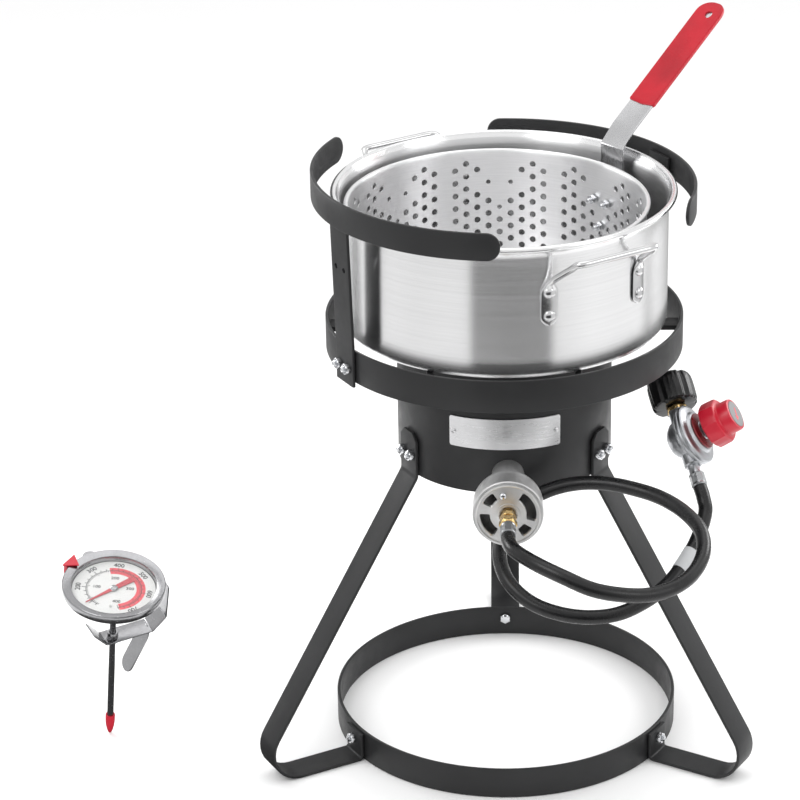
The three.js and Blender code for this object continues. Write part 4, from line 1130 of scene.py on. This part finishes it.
def build_thermometer():
    """Heights are from the back of the case, but the stem's and the cap's are from the tip."""
    case = lathe([(2.9, 0), (30, 0), (35, 0.2), (38, 1), (39.4, 2.4), (39.8, 4), (39.8, 7.6),
                  (39.5, 8.5), (38.9, 8.95), (38.3, 8.9), (34, 7.7), (33, 7.3), (32.6, 6.4),
                  (32.5, 1.6), (2.9, 1.5)],
                 128, closed=True)
    piece_for("thermometer_case", case, STEEL, CASE)
    enamel = lathe([(1.6, DIAL - 0.9), (32, DIAL - 0.9), (32, DIAL), (1.6, DIAL)], 96, closed=True)
    peg = lathe([(0, DIAL - 0.4), (1.1, DIAL - 0.4), (1.1, DIAL + 2), (0.7, DIAL + 2.4),
                 (0, DIAL + 2.4)], 20)
    peg = moved(peg, turn_z(PEG_AT) @ shift(20.3))
    piece_for("dial_plate", merged(enamel, peg), DIAL_WHITE, CASE)
    build_dial()
    lens = lathe([(0, 5.6), (32, 5.6), (32, 6.6), (24, 6.9), (12, 7.05), (0, 7.1)], 96)
    piece_for("glass_lens", lens, GLASS, CASE)

    upper = [(-26.7, 0.25), (-6, 1.3), (4, 2.1), (16.2, 2.6), (18.2, 3.1)]
    needle = [(x, -y) for x, y in upper] + [(17.4, 0)] + upper[::-1]
    piece_for("pointer", moved(flat_loop(needle, 3.2, 3.8), turn_z(POINTER_AT)), RED_PLASTIC, CASE)
    hub = lathe([(0, 2), (1.2, 2), (1.2, 3), (3.2, 3.1), (3.2, 4), (2.5, 4.6), (0, 4.8)], 32)
    detail("pointer_hub", hub, STEEL, "pointer", CASE)

    arrow = [(32.8, 0), (42.4, -7.6), (43.1, -7.2), (43.1, 7.2), (42.4, 7.6)]
    tab = [(40.35, -5.5), (43.1, -5.5), (43.1, 5.5), (40.35, 5.5)]
    marker = merged(flat_loop(arrow, CASE_HEIGHT + GAP, CASE_HEIGHT + 1.3),
                    flat_loop(tab, 1, CASE_HEIGHT + 0.6))
    piece_for("target_marker", moved(marker, turn_z(MARKER_AT)), RED_PLASTIC, CASE)

    top = STEM_LENGTH + 1.2
    stem = lathe([(0, 6.6), (2.5, 6.6), (2.5, 136), (2.5, top), (0, top)], 40)
    collar = lathe([(2.5, -6), (4, -6), (4.4, -5, 6), (4.4, -0.1, 6), (2.5, -0.1)], 36, closed=True)
    piece_for("probe_stem", merged(stem, moved(collar, shift(z=STEM_LENGTH))), STEEL, THERMOMETER)
    cap = lathe([(0, 0), (0.9, 0.25), (1.5, 1.2), (2.5, 4.5), (3.2, 8), (3.7, 13), (3.8, 19.2),
                 (3.5, 20), (2.8, 20), (2.8, 6.3), (0, 6.3)], 40)
    piece_for("probe_cap", cap, RED_PLASTIC, THERMOMETER)
    ear = flat_loop([(34, -6), *arc(40.5, 0, 6, -90, 90, 12), (34, 6)], 3.5, 4.5)
    detail("case_ear", moved(ear, turn_z(EAR_AT)), STEEL, "thermometer_case", CASE)
    build_pan_clip()


def build_pan_clip():
    """Folded spring strip that slides on the stem, with a tongue that grips a pan's wall."""
    place = THERMOMETER @ shift(z=STEM_LENGTH - CLIP_DROP) @ turn_z(CLIP_AT)
    line = rounded([(-19, 12), (-8, -1, 2), (31, -1, 2), (42, 10, 3), (43.2, 40)], 6)
    strip = bent_strip(line, 8, 1.2, 0.4)

    def outline(grow):
        return rounded_box_section(22 + grow, 8 + grow, 7.8 + grow, 10)
    swing = shift(29) @ Matrix.Rotation(radians(115), 4, "Y") @ shift(22)
    tongue = moved(plate(outline, [], 0, 1.2), swing)
    collar = lathe([(2.9, -6), (4, -6), (4.4, -5.4), (4.4, 3.4), (4, 4), (2.9, 4)], 36, closed=True)
    piece_for("pan_clip", merged(strip, tongue, collar), STEEL, place)


# ---------------------------------------------------------------- camera, floor and light


def build_camera():
    """Looks at the stand from the front, a little above its rim."""
    distance, height, focal = 2863.3, 1613.86, 147.0
    pitch, yaw, roll = (radians(a) for a in (23.954, -2.0026, -1.0455))
    forward = Vector((sin(yaw) * cos(pitch), cos(yaw) * cos(pitch), -sin(pitch)))
    right = Vector((cos(yaw), -sin(yaw), 0))
    up = right.cross(forward)
    across, top = right * cos(roll) + up * sin(roll), up * cos(roll) - right * sin(roll)
    camera = in_scene("camera", bpy.data.cameras.new("camera"))
    place = Matrix((across, top, -forward)).transposed().to_4x4()
    place.translation = AXIS + Vector((0, -distance, height)) * MM
    camera.matrix_world = place
    camera.data.sensor_width, camera.data.lens, camera.data.clip_end = 36, focal, 60
    bpy.context.scene.camera = camera


def area_light(name, at, aim, size, power):
    data = bpy.data.lights.new(name, "AREA")
    data.shape, (data.size, data.size_y), data.energy = "RECTANGLE", size, power
    lamp = in_scene(name, data)
    lamp.location = AXIS + Vector(at)
    lamp.visible_camera = False
    lamp.rotation_euler = (Vector((0, 0, aim)) - Vector(at)).to_track_quat("-Z", "Y").to_euler()


def build_studio():
    floor_mesh = bpy.data.meshes.new("studio_floor")
    floor_mesh.from_pydata([(-30, -30, 0), (30, -30, 0), (30, 30, 0), (-30, 30, 0)], [],
                           [[0, 1, 2, 3]])
    studio_floor = in_scene("studio_floor", floor_mesh)
    paper = Surface("studio_paper", (0.93, 0.93, 0.93), 0.9)
    paper.tint(paper.noise(3, 2), 0.995, 1.0)
    floor_mesh.materials.append(paper.material)
    studio_floor.location.z = -0.0006                         # just clear of the feet

    world = bpy.data.worlds.new("studio_world")
    bpy.context.scene.world = world
    world.use_nodes = True
    background = world.node_tree.nodes["Background"].inputs
    background["Color"].default_value = (1, 1, 1, 1)
    background["Strength"].default_value = 0.95
    area_light("key_light", (-1.6, -1.8, 2.6), 0.4, (1.6, 1.6), 22)
    area_light("fill_light", (2.2, -1.2, 1.8), 0.4, (1.2, 1.2), 8)
    area_light("top_light", (0, 0.6, 2.8), 0.4, (2.2, 2.2), 14)
    for side, azimuth in (("left", radians(155)), ("right", radians(25))):
        at = (0.82 * cos(azimuth), 0.82 * sin(azimuth), 0.5)
        area_light(f"{side}_strip_light", at, 0.15, (0.45, 0.5), 3.2)
    build_reflector()
    build_floor_card()
    bpy.context.scene.view_settings.view_transform = "Standard"


def build_floor_card():
    """A dark card that only polished metal sees, under the thermometer."""
    card = build("floor_card", lathe([(0, 0), (210, 0)], 48), DARK_CARD, shift(-400, -110, -0.3))
    hide_from_all_but_gloss(card)


def hide_from_all_but_gloss(card):
    for ray in ("camera", "diffuse", "transmission", "volume_scatter", "shadow"):
        setattr(card, f"visible_{ray}", False)


# (azimuth, brightness) stops round the reflector
BANDS = ((0, 0.95), (12, 0.9), (20, 0.42), (34, 0.7), (60, 0.5), (86, 0.12), (104, 0.16),
         (118, 0.62), (144, 0.66), (147, 0.04), (157, 0.05), (162, 0.9), (200, 0.86), (247, 0.78),
         (251, 0.10), (270, 0.08), (298, 0.10), (303, 0.82), (330, 0.95), (360, 0.95))


def build_reflector():
    """A ring of bright and dark panels that only polished metal sees."""
    wall = lathe([(850, 2), (850, 520)], 96)
    panels = Surface("reflector_panels", (0, 0, 0), 1.0)
    x, y, _ = panels.axes()
    turn = panels.math("ARCTAN2", y, x)
    share = panels.math("FRACT", panels.math("ADD", panels.math("DIVIDE", turn, tau), 1.0))
    colour = panels.ramp(share, [(azimuth / 360, (level,) * 3) for azimuth, level in BANDS])
    emission = panels.add("ShaderNodeEmission")
    panels.join(colour, emission.inputs["Color"])
    panels.join(emission.outputs[0], panels.tree.nodes["Material Output"].inputs["Surface"])
    ring = build("reflector", wall, panels.material)
    hide_from_all_but_gloss(ring)


build_camera()
burner_pieces = build_burner()
regulator_pieces = build_regulator()
build_hose()
build_stand()
build_pot()
build_basket()
build_thermometer()
build_studio()

bpy.context.view_layer.update()
